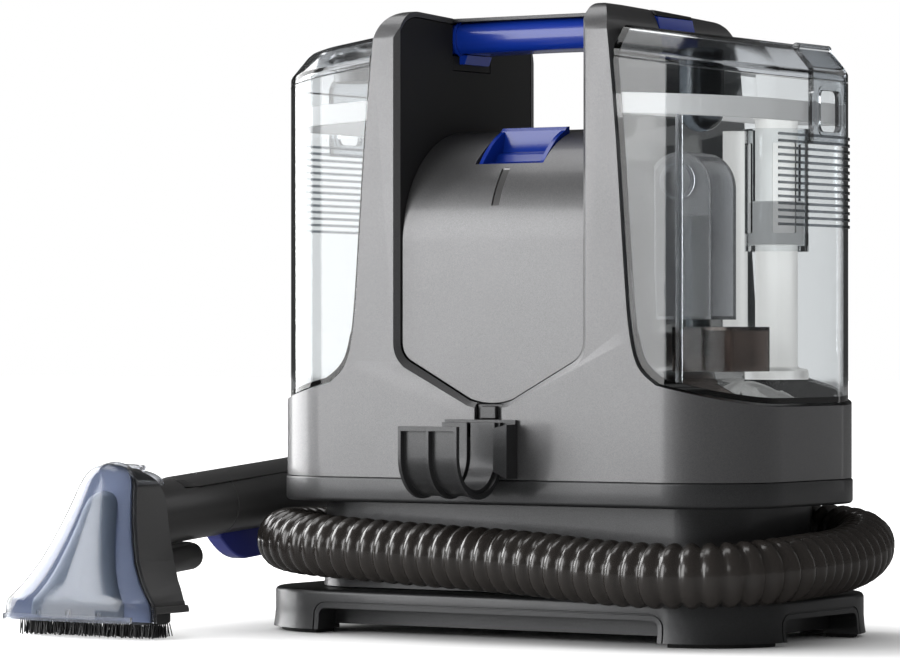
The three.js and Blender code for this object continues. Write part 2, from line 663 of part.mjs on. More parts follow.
// puts a solid made level along Y at height 0 onto the handle's tilted axis
const tilted = (body) => body
  .rotate([THREE.MathUtils.radToDeg(TOOL.tilt), 0, 0])
  .translate([TOOL.x, -176, 63.2]);

function handTool() {
  const r = TOOL.handleR;
  const handleBody = cut(
    union(
      bar('y', 34, 236, r, [0, 0], 28, r + 1.5),
      bar('y', 228, 242 - GAP, r + 2, [0, 0], 28)),
    bar('y', 30, 260, r - 3.5, [0, 0], 24),
    box(-30, 30, 70, 190, 13, 40),
    box(-6.5, 6.5, TRIGGER.pivotY - 6, TRIGGER.pivotY + 50, -40, 0));
  piece('tool_handle', tilted(handleBody), black);
  piece('tool_cuff', tilted(bar('y', 242, 262, r + 0.3, [0, 0], 24, r - 0.2)), black);
  const strip = bar('y', 70.4, 189.6, r + 0.8, [0, 0], 28)
    .intersect(box(-30, 30, 70.4, 189.6, 13.4, 40));
  const screwAt = [0, 92];
  piece('handle_strip', tilted(cut(strip, bar('z', 15.4, 40, 3.6, screwAt, 16))), charcoal);
  piece('strip_screw', tilted(bar('z', 15.7, 17.8, 3.2, screwAt, 12)), steel);

  // the bell outline that the hood and the head share, seen from the front
  const bell = (grow) => {
    const half = [[0, 96.5], [9, 95], [15, 90.5], [17.6, 84], [21.3, 70.5], [27.4, 53.5],
      [39.5, 31.4], [49.5, 20.4], [51, 16], [51, 8]];
    const right = half.map(([x, z]) => [x ? x + grow : 0, z > 80 ? z + grow : z]);
    const left = right.slice(1).reverse().map(([x, z]) => [-x, z]);
    return frontProfile(shapeOf([...right, ...left]), -215, -120).translate([TOOL.x, 0, 0]);
  };
  const alongTool = (points) => sideProfile(shapeOf(points), TOOL.x - 80, TOOL.x + 80);

  // head: a shoulder on the handle's line falling to a wide foot over the brush; the duct
  // opens through its leaning front face, behind the hood
  const headSide = alongTool([
    [-188.4, 14.5], [-188.4, 20.6], [-158.6, 91.5], [-139, 91.5], [-139, 60], [-146, 42],
    [-156.5, 22], [-156.5, 14.5],
  ]);
  const bore = tilted(bar('y', 33.6, 80, r + 0.4, [0, 0], 28));
  const duct = frontProfile(shapeOf([
    [-11, 80], [11, 80], [16, 56], [21, 44], [-21, 44], [-16, 56],
  ]), -205, -140).translate([TOOL.x, 0, 0]);
  piece('tool_head', cut(bell(-0.5).intersect(headSide), bore, duct), black);

  // clear hood: a thin shell of the bell, open below and behind, with a loop over the head
  const outerHood = bell(1.2).intersect(alongTool([
    [-203, 9.5], [-203, 20], [-176, 86], [-168, 98.5], [-156.1, 98.5], [-160.6, 88],
    [-188.9, 20.6], [-188.9, 9.5],
  ]));
  const innerHood = bell(-0.4).intersect(alongTool([
    [-200.8, 0], [-200.8, 20.4], [-173.9, 86], [-167, 96.3], [-130, 96.3], [-130, 0],
  ]));
  const loop = cut(
    box(TOOL.x - 13, TOOL.x + 13, -160, -134, 92, 95.4),
    box(TOOL.x - 6.5, TOOL.x + 6.5, -148, -138.5, 90, 100));
  piece('suction_hood', union(cut(outerHood, innerHood), loop), clear);

  const brushSlab = (width, depth, corner, low, high) => slab(
    roundedShape(width, depth, corner, TOOL.x, BRUSH.y), low, high);
  piece('brush_block', brushSlab(98, 19, 6, BRUSH.top, 14.5 - GAP), black);
  piece('brush_bristles', brushSlab(96, 16, 5, 0, BRUSH.top - GAP), black);

  const nose = TRIGGER.pivotY - 4;
  const triggerSide = new THREE.Shape();
  triggerSide.moveTo(nose, -12);
  triggerSide.lineTo(nose + 48, -14);
  triggerSide.quadraticCurveTo(nose + 50, -34, nose + 42, -35);
  triggerSide.lineTo(nose + 24, -35);
  triggerSide.quadraticCurveTo(nose + 12, -33, nose, -20);
  const pivot = [TRIGGER.pivotY, TRIGGER.pivotZ];
  const triggerBody = cut(
    union(sideProfile(triggerSide, -5.5, 5.5, 5), bar('x', -5.5, 5.5, 5, pivot, 14)),
    bar('x', -8, 8, 1.9, pivot, 12));
  piece('trigger', tilted(triggerBody), violet);
  piece('trigger_pin', tilted(bar('x', -6.2, 6.2, 1.5, pivot, 10)), steel);
  piece('spray_tube', tilted(union(
    bar('y', 54, 92, 8, [0, -28], 20),
    box(-4, 4, 66, 84, -24, -19.2))), black);
}

// ---------------------------------------------------------------- assembly

baseAndNeck();
bodyShell();
handle();
covers();
rocker();
cradle();
cleanTank();
wasteTank();
motorGroup();
hose();
handTool();

const ON_THE_HOSE = ['suction_hose', 'hose_cuff', 'tool_cuff'];
const stance = new THREE.Box3();
for (const mesh of root.children) {
  if (!ON_THE_HOSE.includes(mesh.name)) stance.expandByObject(mesh);
}
const centre = stance.getCenter(new THREE.Vector3());
root.position.set(-centre.x, -centre.y, -stance.min.z);

export default root;
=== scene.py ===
import math

import bmesh
import bpy
from mathutils import Matrix, Vector


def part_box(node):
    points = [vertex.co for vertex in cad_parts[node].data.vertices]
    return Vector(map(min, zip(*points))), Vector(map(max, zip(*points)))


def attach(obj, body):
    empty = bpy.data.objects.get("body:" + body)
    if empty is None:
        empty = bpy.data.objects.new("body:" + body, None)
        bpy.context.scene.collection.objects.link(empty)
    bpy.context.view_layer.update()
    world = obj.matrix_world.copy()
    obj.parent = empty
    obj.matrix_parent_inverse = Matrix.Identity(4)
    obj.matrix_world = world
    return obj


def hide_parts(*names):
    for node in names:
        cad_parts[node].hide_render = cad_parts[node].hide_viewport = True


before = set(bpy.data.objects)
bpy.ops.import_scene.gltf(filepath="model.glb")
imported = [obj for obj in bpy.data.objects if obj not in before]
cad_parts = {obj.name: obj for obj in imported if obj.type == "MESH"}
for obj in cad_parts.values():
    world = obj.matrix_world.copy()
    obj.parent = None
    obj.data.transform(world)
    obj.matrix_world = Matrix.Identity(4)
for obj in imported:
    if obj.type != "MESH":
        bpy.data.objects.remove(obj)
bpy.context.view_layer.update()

bl_info = {
    "name": "Spot extractor",
    "version": (1, 0, 0),
    "blender": (4, 5, 0),
    "location": "View3D > Sidebar > Spot extractor",
    "description": "Builds the finished look of a portable spot extractor around its packed model",
    "category": "Object",
}

# ------------------------------------------------------------------ places and sizes

MM = 0.001
BASE_LOW, BASE_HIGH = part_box("base_plate")
CENTRE = Vector(((BASE_LOW.x + BASE_HIGH.x) / 2, (BASE_LOW.y + BASE_HIGH.y) / 2, 0))
SIDES = (("left", -1), ("right", 1))
# upright axes in plan, in millimetres from the centre line
VALVE_AT = (-128, 0)
CAP_AT = (-122, -30)
PIPE_AT = (132, 8)


def placed(point):
    """A point given in millimetres from the machine's centre line, in the frame."""
    return Vector(point) * MM + CENTRE


# ------------------------------------------------------------------ outlines

def arc(cx, cy, radius, start, end, steps=12):
    """Points of an arc, its angles in degrees."""
    span = math.radians(end - start)
    first = math.radians(start)
    return [(cx + radius * math.cos(first + span * i / steps),
             cy + radius * math.sin(first + span * i / steps)) for i in range(steps + 1)]


def bend(p0, p1, p2, steps=12):
    """Points of a quadratic curve after its first point."""
    points = []
    for i in range(1, steps + 1):
        t = i / steps
        points.append(tuple(
            (1 - t) ** 2 * a + 2 * t * (1 - t) * b + t * t * c for a, b, c in zip(p0, p1, p2)))
    return points


def rounded(width, depth, corner, cx=0, cy=0, steps=16):
    """A rectangle with round corners, as an outline round its centre."""
    x, y = width / 2 - corner, depth / 2 - corner
    points = []
    for sx, sy, start in ((1, -1, -90), (1, 1, 0), (-1, 1, 90), (-1, -1, 180)):
        points += arc(cx + sx * x, cy + sy * y, corner, start, start + 90, steps)
    return points


def drawn_in(plan, inset):
    """A rounded plan, (width, depth, corner), with its edge moved inwards."""
    width, depth, corner = plan
    return width - 2 * inset, depth - 2 * inset, corner - inset


def smooth_line(points, steps=6):
    """A rounder run through a few points, as a Catmull-Rom curve."""
    ends = [points[0], *points, points[-1]]
    line = [tuple(points[0])]
    for a, b, c, d in zip(ends, ends[1:], ends[2:], ends[3:]):
        for i in range(1, steps + 1):
            t = i / steps
            line.append(tuple(
                0.5 * (2 * q + (r - p) * t + (2 * p - 5 * q + 4 * r - s) * t * t
                       + (3 * q - p - 3 * r + s) * t ** 3)
                for p, q, r, s in zip(a, b, c, d)))
    return line


# ------------------------------------------------------------------ closed forms

def turned_to(axis, u, v, w):
    """u and v across the axis, w along it: x takes (Y, Z), y takes (X, Z), z takes (X, Y)."""
    return {"x": (w, u, v), "y": (u, w, v), "z": (u, v, w)}[axis]


def mesh_from(vertices, faces):
    """A closed mesh with doubled points merged and its faces outwards."""
    bm = bmesh.new()
    made = [bm.verts.new(v) for v in vertices]
    for face in faces:
        bm.faces.new([made[i] for i in face])
    bmesh.ops.remove_doubles(bm, verts=bm.verts, dist=0.001)
    bmesh.ops.recalc_face_normals(bm, faces=bm.faces)
    mesh = bpy.data.meshes.new("form")
    bm.to_mesh(mesh)
    bm.free()
    return mesh


def prism(outline, low, high, axis="z"):
    """An outline drawn out along an axis."""
    count = len(outline)
    vertices = [turned_to(axis, u, v, w) for w in (low, high) for u, v in outline]
    faces = [tuple(range(count)), tuple(range(count, 2 * count))]
    for i in range(count):
        j = (i + 1) % count
        faces.append((i, j, count + j, count + i))
    return mesh_from(vertices, faces)


def block(x0, x1, y0, y1, z0, z1):
    """A box between two x, two y and two z, the x and y pairs in either order."""
    x0, x1 = sorted((x0, x1))
    y0, y1 = sorted((y0, y1))
    return prism([(x0, y0), (x1, y0), (x1, y1), (x0, y1)], z0, z1)


def stack(rings, axis="z", closed=False):
    """Skins a run of like outlines, each (outline, height along the axis)."""
    count = len(rings[0][0])
    vertices = [turned_to(axis, u, v, w) for outline, w in rings for u, v in outline]
    faces = []
    total = len(rings)
    for k in range(total if closed else total - 1):
        a, b = k * count, ((k + 1) % total) * count
        for i in range(count):
            j = (i + 1) % count
            faces.append((a + i, a + j, b + j, b + i))
    if not closed:
        faces.append(tuple(range(count)))
        faces.append(tuple(range((total - 1) * count, total * count)))
    return mesh_from(vertices, faces)


def turning(profile, at, axis="z", sides=48, closed=False):
    """A lathe form: profile is (radius, place along the axis)."""
    rings = []
    for radius, w in profile:
        radius = max(radius, 0.01)
        rings.append((arc(at[0], at[1], radius, 0, 360 - 360 / sides, sides - 1), w))
    return stack(rings, axis, closed)


def rod(axis, low, high, radius, at, sides=40, edge=0.6):
    """A round bar with bevelled ends."""
    edge = min(edge, radius * 0.45, (high - low) * 0.3)
    return turning([(radius - edge, low), (radius, low + edge),
                    (radius, high - edge), (radius - edge, high)], at, axis, sides)


def combined(first, second, operation):
    """A boolean of two closed forms, done by a modifier and made plain again."""
    holders = []
    for mesh in (first, second):
        holder = bpy.data.objects.new("form", mesh)
        bpy.context.scene.collection.objects.link(holder)
        holders.append(holder)
    modifier = holders[0].modifiers.new("carve", "BOOLEAN")
    modifier.operation = operation
    modifier.solver = "MANIFOLD"
    modifier.object = holders[1]
    graph = bpy.context.evaluated_depsgraph_get()
    result = bpy.data.meshes.new_from_object(holders[0].evaluated_get(graph))
    for holder in holders:
        mesh = holder.data
        bpy.data.objects.remove(holder)
        bpy.data.meshes.remove(mesh)
    return result


def join(first, *others):
    """The forms joined into one."""
    for other in others:
        first = combined(first, other, "UNION")
    return first


def cut(first, *others):
    """The first form less the others."""
    for other in others:
        first = combined(first, other, "DIFFERENCE")
    return first


def meet(first, *others):
    """What the forms have in common."""
    for other in others:
        first = combined(first, other, "INTERSECT")
    return first


def mirrored(mesh, axis=0):
    """A copy turned over across the machine's centre line, its faces still outwards."""
    copy = mesh.copy()
    scale = [1, 1, 1]
    scale[axis] = -1
    copy.transform(Matrix.Diagonal((*scale, 1)))
    bm = bmesh.new()
    bm.from_mesh(copy)
    bmesh.ops.reverse_faces(bm, faces=bm.faces)
    bm.to_mesh(copy)
    bm.free()
    return copy


def moved(mesh, matrix):
    """The mesh after a move."""
    mesh.transform(matrix)
    return mesh


# ------------------------------------------------------------------ finishing a piece

def tidied(mesh, grain=0.02):
    """Merges slivers and joins flat neighbours into single faces."""
    bm = bmesh.new()
    bm.from_mesh(mesh)
    bmesh.ops.remove_doubles(bm, verts=bm.verts, dist=grain)
    bmesh.ops.dissolve_degenerate(bm, edges=bm.edges, dist=grain / 2)
    bmesh.ops.dissolve_limit(
        bm, angle_limit=math.radians(0.4), verts=bm.verts, edges=bm.edges,
        delimit={"NORMAL"})
    bm.to_mesh(mesh)
    bm.free()
    return mesh


def applied(holder):
    """The holder with its modifiers made plain."""
    graph = bpy.context.evaluated_depsgraph_get()
    mesh = bpy.data.meshes.new_from_object(holder.evaluated_get(graph))
    old = holder.data
    holder.modifiers.clear()
    holder.data = mesh
    if old.users == 0:
        bpy.data.meshes.remove(old)
    return holder


def make_piece(name, mesh, finish, body, stands_for=(), edge=0.7, segments=2, sharp=38):
    """Rounds a form's edges, gives it its finish and hands it to the body it moves with."""
    tidied(mesh)
    mesh.transform(Matrix.Translation(CENTRE) @ Matrix.Scale(MM, 4))
    mesh.name = name
    holder = bpy.data.objects.new(name, mesh)
    bpy.context.scene.collection.objects.link(holder)
    if edge:
        bevel = holder.modifiers.new("edges", "BEVEL")
        bevel.width = edge * MM
        bevel.segments = segments
        bevel.limit_method = "ANGLE"
        bevel.angle_limit = math.radians(sharp)
        bevel.use_clamp_overlap = True
        bevel.harden_normals = True
        bevel.miter_outer = "MITER_ARC"
    for face in mesh.polygons:
        face.use_smooth = True
    mesh.set_sharp_from_angle(angle=math.radians(sharp))
    applied(holder)
    if not holder.data.polygons:
        raise RuntimeError(f"{name} came out empty")
    holder.data.materials.clear()
    holder.data.materials.append(FINISH[finish])
    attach(holder, body)
    if stands_for:
        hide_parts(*stands_for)
    return holder


# ------------------------------------------------------------------ nodes

def add_node(tree, kind, second=None, **values):
    """A new node: small names set its own properties, capital ones the values of its inputs."""
    node = tree.nodes.new(kind)
    for name, value in values.items():
        if name[0].islower():
            setattr(node, name, value)
        else:
            node.inputs[name.replace("_", " ")].default_value = value
    if second is not None:
        node.inputs[1].default_value = second
    return node


def wire(tree, *runs):
    """Links each (node, output, node, input), a socket given by its name or its place."""
    for giver, out, taker, into in runs:
        tree.links.new(giver.outputs[out], taker.inputs[into])


# ------------------------------------------------------------------ shader groups

def new_group(name, inputs, outputs, kind="ShaderNodeTree"):
    """An empty node group with its sockets: (group, its inputs' node, its outputs' node)."""
    group = bpy.data.node_groups.new(name, kind)
    for label, socket_kind, *default in inputs:
        socket = group.interface.new_socket(
            label, in_out="INPUT", socket_type="NodeSocket" + socket_kind)
        if default:
            socket.default_value = default[0]
    for label, socket_kind in outputs:
        group.interface.new_socket(
            label, in_out="OUTPUT", socket_type="NodeSocket" + socket_kind)
    return group, group.nodes.new("NodeGroupInput"), group.nodes.new("NodeGroupOutput")


def grain_group():
    """Moulded grain: a fine bump, and a roughness and a colour that wander a little."""
    group, start, end = new_group(
        "Moulded grain",
        [("Colour", "Color", (0.1, 0.1, 0.1, 1)), ("Scale", "Float", 1500.0),
         ("Bump", "Float", 0.1), ("Roughness", "Float", 0.4),
         ("Variation", "Float", 0.1)],
        [("Colour", "Color"), ("Roughness", "Float"),
         ("Normal", "Vector")])
    place = add_node(group, "ShaderNodeTexCoord")
    fine = add_node(group, "ShaderNodeTexNoise", Detail=3)
    broad = add_node(group, "ShaderNodeTexNoise", Scale=24, Detail=5)
    bump = add_node(group, "ShaderNodeBump", Distance=0.0004)
    wander = add_node(group, "ShaderNodeMath", 0.5, operation="SUBTRACT")
    amount = add_node(group, "ShaderNodeMath", operation="MULTIPLY")
    rough = add_node(group, "ShaderNodeMath", use_clamp=True)
    value = add_node(group, "ShaderNodeMath", 1)
    tint = add_node(group, "ShaderNodeVectorMath", operation="SCALE")
    wire(group,
         (place, "Object", fine, "Vector"), (start, "Scale", fine, "Scale"),
         (place, "Object", broad, "Vector"),
         (start, "Bump", bump, "Strength"), (fine, "Fac", bump, "Height"),
         (bump, "Normal", end, "Normal"),
         (broad, "Fac", wander, 0), (wander, 0, amount, 0), (start, "Variation", amount, 1),
         (start, "Roughness", rough, 0), (amount, 0, rough, 1), (rough, 0, end, "Roughness"),
         (amount, 0, value, 0), (start, "Colour", tint, 0), (value, 0, tint, "Scale"),
         (tint, 0, end, "Colour"))
    return group


def flake_group():
    """Metallic paint: tiny flakes that tip the surface and sparkle between two colours."""
    group, start, end = new_group(
        "Metallic flake",
        [("Base", "Color", (0.2, 0.2, 0.2, 1)),
         ("Flake", "Color", (0.4, 0.4, 0.4, 1)), ("Scale", "Float", 5200.0),
         ("Tip", "Float", 0.2)],
        [("Colour", "Color"), ("Normal", "Vector"),
         ("Roughness", "Float")])
    place = add_node(group, "ShaderNodeTexCoord")
    cells = add_node(group, "ShaderNodeTexVoronoi")
    shade = add_node(group, "ShaderNodeSeparateColor")
    mix = add_node(group, "ShaderNodeMix", data_type="RGBA")
    bump = add_node(group, "ShaderNodeBump", Distance=0.0002)
    smear = add_node(group, "ShaderNodeTexNoise", Scale=18, Detail=6)
    spread = add_node(group, "ShaderNodeMapRange", To_Min=0.3, To_Max=0.42)
    wire(group,
         (place, "Object", cells, "Vector"), (start, "Scale", cells, "Scale"),
         (cells, "Color", shade, 0), (shade, 0, mix, "Factor"),
         (start, "Base", mix, "A"), (start, "Flake", mix, "B"), (mix, "Result", end, "Colour"),
         (start, "Tip", bump, "Strength"), (shade, 1, bump, "Height"),
         (bump, "Normal", end, "Normal"),
         (place, "Object", smear, "Vector"), (smear, "Fac", spread, "Value"),
         (spread, "Result", end, "Roughness"))
    return group


# ------------------------------------------------------------------ finishes

def principled(name, **values):
    """A new material with values for its shader's own inputs: (material, tree, shader)."""
    material = bpy.data.materials.new(name)
    material.use_nodes = True
    shader = material.node_tree.nodes["Principled BSDF"]
    for label, value in values.items():
        shader.inputs[label.replace("_", " ")].default_value = value
    return material, material.node_tree, shader


def with_group(tree, shader, group, **values):
    """Places a shader group in a material and lets it colour, roughen and tip the shader."""
    placed_group = tree.nodes.new("ShaderNodeGroup")
    placed_group.node_tree = GROUPS[group]
    for label, value in values.items():
        placed_group.inputs[label].default_value = value
    wire(tree, (placed_group, "Colour", shader, "Base Color"),
         (placed_group, "Roughness", shader, "Roughness"),
         (placed_group, "Normal", shader, "Normal"))


def moulded(name, colour, roughness, scale=1500, bump=0.15, variation=0.1, coat=0.0,
            specular=0.5, glow=0.0):
    """A moulded plastic or rubber with its grain; a glow above nought paints light on it, an
    emission in its own colour.
    """
    material, tree, shader = principled(
        name, Specular_IOR_Level=specular, Coat_Weight=coat, Coat_Roughness=0.08,
        Emission_Color=(*colour, 1), Emission_Strength=glow)
    with_group(tree, shader, "grain", Colour=(*colour, 1), Scale=scale, Bump=bump,
               Roughness=roughness, Variation=variation)
    return material


def metallic_paint(name, base, flake, coat):
    """A metallic paint of two close colours under a clear coat."""
    material, tree, shader = principled(
        name, Metallic=0.8, Coat_Weight=coat, Coat_Roughness=0.12)
    with_group(tree, shader, "flake", Base=(*base, 1), Flake=(*flake, 1))
    return material


def clear_plastic(name, colour, roughness, ior=1.45, glow=0.0):
    """A clear moulding with a faint unevenness of its surface; a glow above nought paints light on
    it, an emission in its own colour.
    """
    material, tree, shader = principled(
        name, Base_Color=(*colour, 1), Roughness=roughness, IOR=ior, Transmission_Weight=1,
        Emission_Color=(*colour, 1), Emission_Strength=glow)
    place = add_node(tree, "ShaderNodeTexCoord")
    ripple = add_node(tree, "ShaderNodeTexNoise", Scale=40)
    bump = add_node(tree, "ShaderNodeBump", Strength=0.015, Distance=0.001)
    wire(tree, (place, "Object", ripple, "Vector"), (ripple, "Fac", bump, "Height"),
         (bump, "Normal", shader, "Normal"))
    return material


def steel_finish(name):
    """Turned steel with a fine grain."""
    material, tree, shader = principled(name, Metallic=1)
    with_group(tree, shader, "grain", Colour=(0.55, 0.56, 0.57, 1), Scale=900, Bump=0.05,
               Roughness=0.28)
    return material


GROUPS = {}
FINISH = {}


def make_finishes(colours):
    """Makes the node groups and every finish from the user's colours."""
    GROUPS["grain"] = grain_group()
    GROUPS["flake"] = flake_group()
    GROUPS["repeat"] = repeat_group()
    GROUPS["bristle"] = bristle_group()
    silver = tuple(colours.silver)
    FINISH.update({
        "silver": metallic_paint("silver paint", tuple(c * 0.82 for c in silver),
                                 tuple(c * 1.2 for c in silver), 0.35),
        "charcoal": metallic_paint("charcoal paint", tuple(colours.charcoal),
                                   tuple(c * 1.6 for c in colours.charcoal), 0.2),
        "liner": moulded("liner plastic", (0.012, 0.012, 0.0125), 0.6, 1200, 0.2),
        "black": moulded("black plastic", tuple(colours.black), 0.3, 1800, 0.08),
        "dull_black": moulded("dull black plastic", (0.016, 0.016, 0.017), 0.6, 1200, 0.2),
        "blue": moulded("blue plastic", tuple(colours.blue), 0.24, 2000, 0.02, 0.05, 0.3),
        "violet": moulded("violet plastic", (0.022, 0.028, 0.17), 0.3, 1800, 0.05, 0.05, 0.2),
        "clear": clear_plastic("clear plastic", (0.88, 0.9, 0.91), 0.02),
        "lid": clear_plastic("lid plastic", (0.76, 0.78, 0.80), 0.08),
        "latch": clear_plastic("latch plastic", (0.60, 0.62, 0.64), 0.06),
        "rib": clear_plastic("rib plastic", (0.30, 0.32, 0.34), 0.1),
        # frosted and grey_clear glow in their own colour: painted light on the standpipe, riser and
        # tower inside the clear tank, where the lamps don't reach
        "frosted": clear_plastic("frosted plastic with painted glow", (0.93, 0.93, 0.92), 0.35, glow=0.16),
        "grey_clear": clear_plastic("grey clear plastic with painted glow", (0.66, 0.67, 0.69), 0.22, glow=0.03),
        "deep_clear": clear_plastic("deep grey plastic", (0.16, 0.18, 0.2), 0.2),
        "brown_clear": clear_plastic("brown clear plastic", (0.34, 0.29, 0.27), 0.2),
        "hood": clear_plastic("hood plastic", (0.90, 0.93, 0.99), 0.1),
        "pale": moulded("pale duct plastic", (0.14, 0.17, 0.215), 0.35, 1500, 0.04),
        "shade": moulded("shaded duct plastic", (0.13, 0.16, 0.25), 0.35, 1500, 0.04),
        "rim": clear_plastic("frosted rim plastic", (0.93, 0.95, 0.99), 0.25),
        "smoke": moulded("smoke hose", tuple(colours.hose), 0.24, 1500, 0.03, 0.08, 0.35, 0.6),
        "grey": moulded("grey plastic", (0.42, 0.43, 0.44), 0.35, 1500, 0.05),
        # seal and white glow in their own colour: painted light on the seals and the float inside
        # the clear tanks, where the lamps don't reach
        "seal": moulded("seal rubber with painted glow", (0.8, 0.8, 0.8), 0.45, 1200, 0.05, glow=0.3),
        "white": moulded("white plastic with painted glow", (0.8, 0.8, 0.8), 0.4, 1500, 0.05, glow=0.35),
        "rubber": moulded("foot rubber", (0.02, 0.02, 0.02), 0.8, 700, 0.3),
        "board": moulded("circuit board", (0.02, 0.12, 0.05), 0.4, 800, 0.05),
        "bristle": moulded("bristle nylon", (0.012, 0.012, 0.013), 0.35, 3000, 0.05),
        "steel": steel_finish("turned steel"),
    })


# ------------------------------------------------------------------ user's settings

def length(name, description, default):
    """A length the user may set, in metres."""
    return bpy.props.FloatProperty(
        name=name, description=description, default=default, min=0, unit="LENGTH")


def colour(name, description, default):
    return bpy.props.FloatVectorProperty(
        name=name, description=description, default=default, size=3, min=0, max=1,
        subtype="COLOR")


class ExtractorColours(bpy.types.PropertyGroup):
    silver: colour("Body", "Colour of the metallic body paint", (0.15, 0.15, 0.153))
    charcoal: colour("Charcoal", "Colour of the base, band and clip", (0.055, 0.0555, 0.057))
    black: colour("Black", "Colour of the hand tool", (0.045, 0.0445, 0.0445))
    blue: colour("Blue", "Colour of the grip and rocker", (0.004, 0.026, 0.25))
    hose: colour("Hose", "Colour of the smoked hose", (0.022, 0.019, 0.017))


class ExtractorSizes(bpy.types.PropertyGroup):
    hose_diameter: length("Hose diameter", "Outer diameter over the corrugations", 0.036)
    hose_pitch: length("Hose pitch", "Distance from one corrugation to the next", 0.0098)
    rib_pitch: length("Grip rib pitch", "Distance between the tanks' ribs", 0.0038)
    rib_count: bpy.props.IntProperty(
        name="Grip ribs", description="Ribs moulded in each tank", default=14, min=1)
    seed: bpy.props.IntProperty(
        name="Seed", description="Seed of the bristles' scatter", default=7, min=0)


def sizes():
    """The sizes the user has set."""
    return bpy.context.scene.extractor_sizes


# ------------------------------------------------------------------ stage

# the camera's place in degrees and millimetres, and its lens
VIEW = {"azimuth": 33.0, "distance": 2583.0, "aside": 66.3, "eye": 166.8, "lens": 180.84,
        "sensor": 36, "shift": 0.0072}
FLOOR_REACH = 14       # metres from the middle of the floor to its edge


class EXTRACTOR_OT_stage(bpy.types.Operator):
    """Makes the camera, the soft studio lights and the pale floor"""

    bl_idname = "extractor.stage"
    bl_label = "Stage"

    def execute(self, context):
        scene = context.scene
        turn = math.radians(VIEW["azimuth"])
        right = Vector((math.cos(turn), math.sin(turn), 0))
        ahead = Vector((-math.sin(turn), math.cos(turn), 0))
        eye = CENTRE - (right * VIEW["aside"] + ahead * VIEW["distance"]) * MM
        eye.z = VIEW["eye"] * MM
        data = bpy.data.cameras.new("camera")
        data.lens = VIEW["lens"]
        data.sensor_width = VIEW["sensor"]
        data.shift_y = VIEW["shift"]
        data.clip_start = 0.1
        data.clip_end = 100
        camera = bpy.data.objects.new("camera", data)
        camera.location = eye
        camera.rotation_euler = ahead.to_track_quat("-Z", "Y").to_euler()
        scene.collection.objects.link(camera)
        scene.camera = camera
        scene.view_settings.view_transform = "Standard"

        target = CENTRE + Vector((0, 0, 0.17))
        # name, place (right, towards the camera, up), size (wide, high), watts
        panels = (
            ("key", (-1.7, 0.75, 0.55), (0.9, 1.3), 18),
            ("left", (-1.2, -0.6, 0.5), (1.0, 1.3), 27),
            ("top", (-0.6, -0.5, 2.0), (1.2, 1.2), 10),
            ("rim", (1.6, -0.9, 0.6), (0.12, 1.2), 0.4),
            ("front", (-1.4, 1.9, 1.0), (0.8, 0.6), 2.2),
        )
        for name, (aside, nearer, up), (wide, high), watts in panels:
            light = bpy.data.lights.new(name, "AREA")
            light.shape = "RECTANGLE"
            light.size = wide
            light.size_y = high
            light.energy = watts
            holder = bpy.data.objects.new(name, light)
            holder.location = CENTRE + right * aside - ahead * nearer + Vector((0, 0, up))
            toward = target - holder.location
            holder.rotation_euler = toward.to_track_quat("-Z", "Y").to_euler()
            scene.collection.objects.link(holder)

        world = bpy.data.worlds.new("studio")
        world.use_nodes = True
        tree = world.node_tree
        background = tree.nodes["Background"]
        background.inputs["Color"].default_value = (1, 1, 1, 1)
        path = add_node(tree, "ShaderNodeLightPath")
        # white behind the glass, a soft glow for matt surfaces, a dark room for reflections
        matt = add_node(tree, "ShaderNodeMapRange", From_Max=1, To_Min=1.0, To_Max=0.7)
        shiny = add_node(tree, "ShaderNodeMath", 1, operation="MINIMUM")
        strength = add_node(tree, "ShaderNodeMix", B=0.04)
        wire(tree, (path, "Diffuse Depth", matt, "Value"), (path, "Glossy Depth", shiny, 0),
             (shiny, 0, strength, "Factor"), (matt, "Result", strength, "A"),
             (strength, "Result", background, "Strength"))
        scene.world = world

        floor_mesh = bpy.data.meshes.new("floor")
        reach = FLOOR_REACH
        floor_mesh.from_pydata(
            [(-reach, -reach, 0), (reach, -reach, 0), (reach, reach, 0), (-reach, reach, 0)],
            [], [(0, 1, 2, 3)])
        floor = bpy.data.objects.new("floor", floor_mesh)
        scene.collection.objects.link(floor)
        material, tree, shader = principled(
            "floor", Roughness=0.6, Specular_IOR_Level=0.1, Emission_Color=(1, 1, 1, 1))
        # the floor is pale to the eye and dim in the paint's reflections
        looks = add_node(tree, "ShaderNodeLightPath")
        tone = add_node(tree, "ShaderNodeMix", data_type="RGBA", A=(0.88, 0.88, 0.88, 1),
                        B=(0.2, 0.2, 0.2, 1))
        place = add_node(tree, "ShaderNodeTexCoord")
        centred = add_node(tree, "ShaderNodeVectorMath", CENTRE, operation="SUBTRACT")
        squeezed = add_node(tree, "ShaderNodeVectorMath", (0.17, 0.09, 1), operation="DIVIDE")
        away = add_node(tree, "ShaderNodeVectorMath", operation="LENGTH")
        # its own glow starts past the base and rises again far away
        near_rise, far_rise = (
            add_node(tree, "ShaderNodeMapRange", interpolation_type="SMOOTHSTEP",
                     From_Min=near, From_Max=far, To_Max=most)
            for near, far, most in ((1.0, 2.4, 0.5), (3.0, 12.0, 0.42)))
        total = add_node(tree, "ShaderNodeMath")
        dim = add_node(tree, "ShaderNodeMapRange", To_Min=1.0, To_Max=0.2)
        glow = add_node(tree, "ShaderNodeMath", operation="MULTIPLY")
        wire(tree,
             (looks, "Is Glossy Ray", tone, "Factor"), (tone, "Result", shader, "Base Color"),
             (place, "Object", centred, 0), (centred, 0, squeezed, 0), (squeezed, 0, away, 0),
             (away, "Value", near_rise, "Value"), (away, "Value", far_rise, "Value"),
             (near_rise, "Result", total, 0), (far_rise, "Result", total, 1),
             (looks, "Is Glossy Ray", dim, "Value"), (total, 0, glow, 0),
             (dim, "Result", glow, 1), (glow, 0, shader, "Emission Strength"))
        floor_mesh.materials.append(material)
        return {"FINISHED"}


# ------------------------------------------------------------------ hose

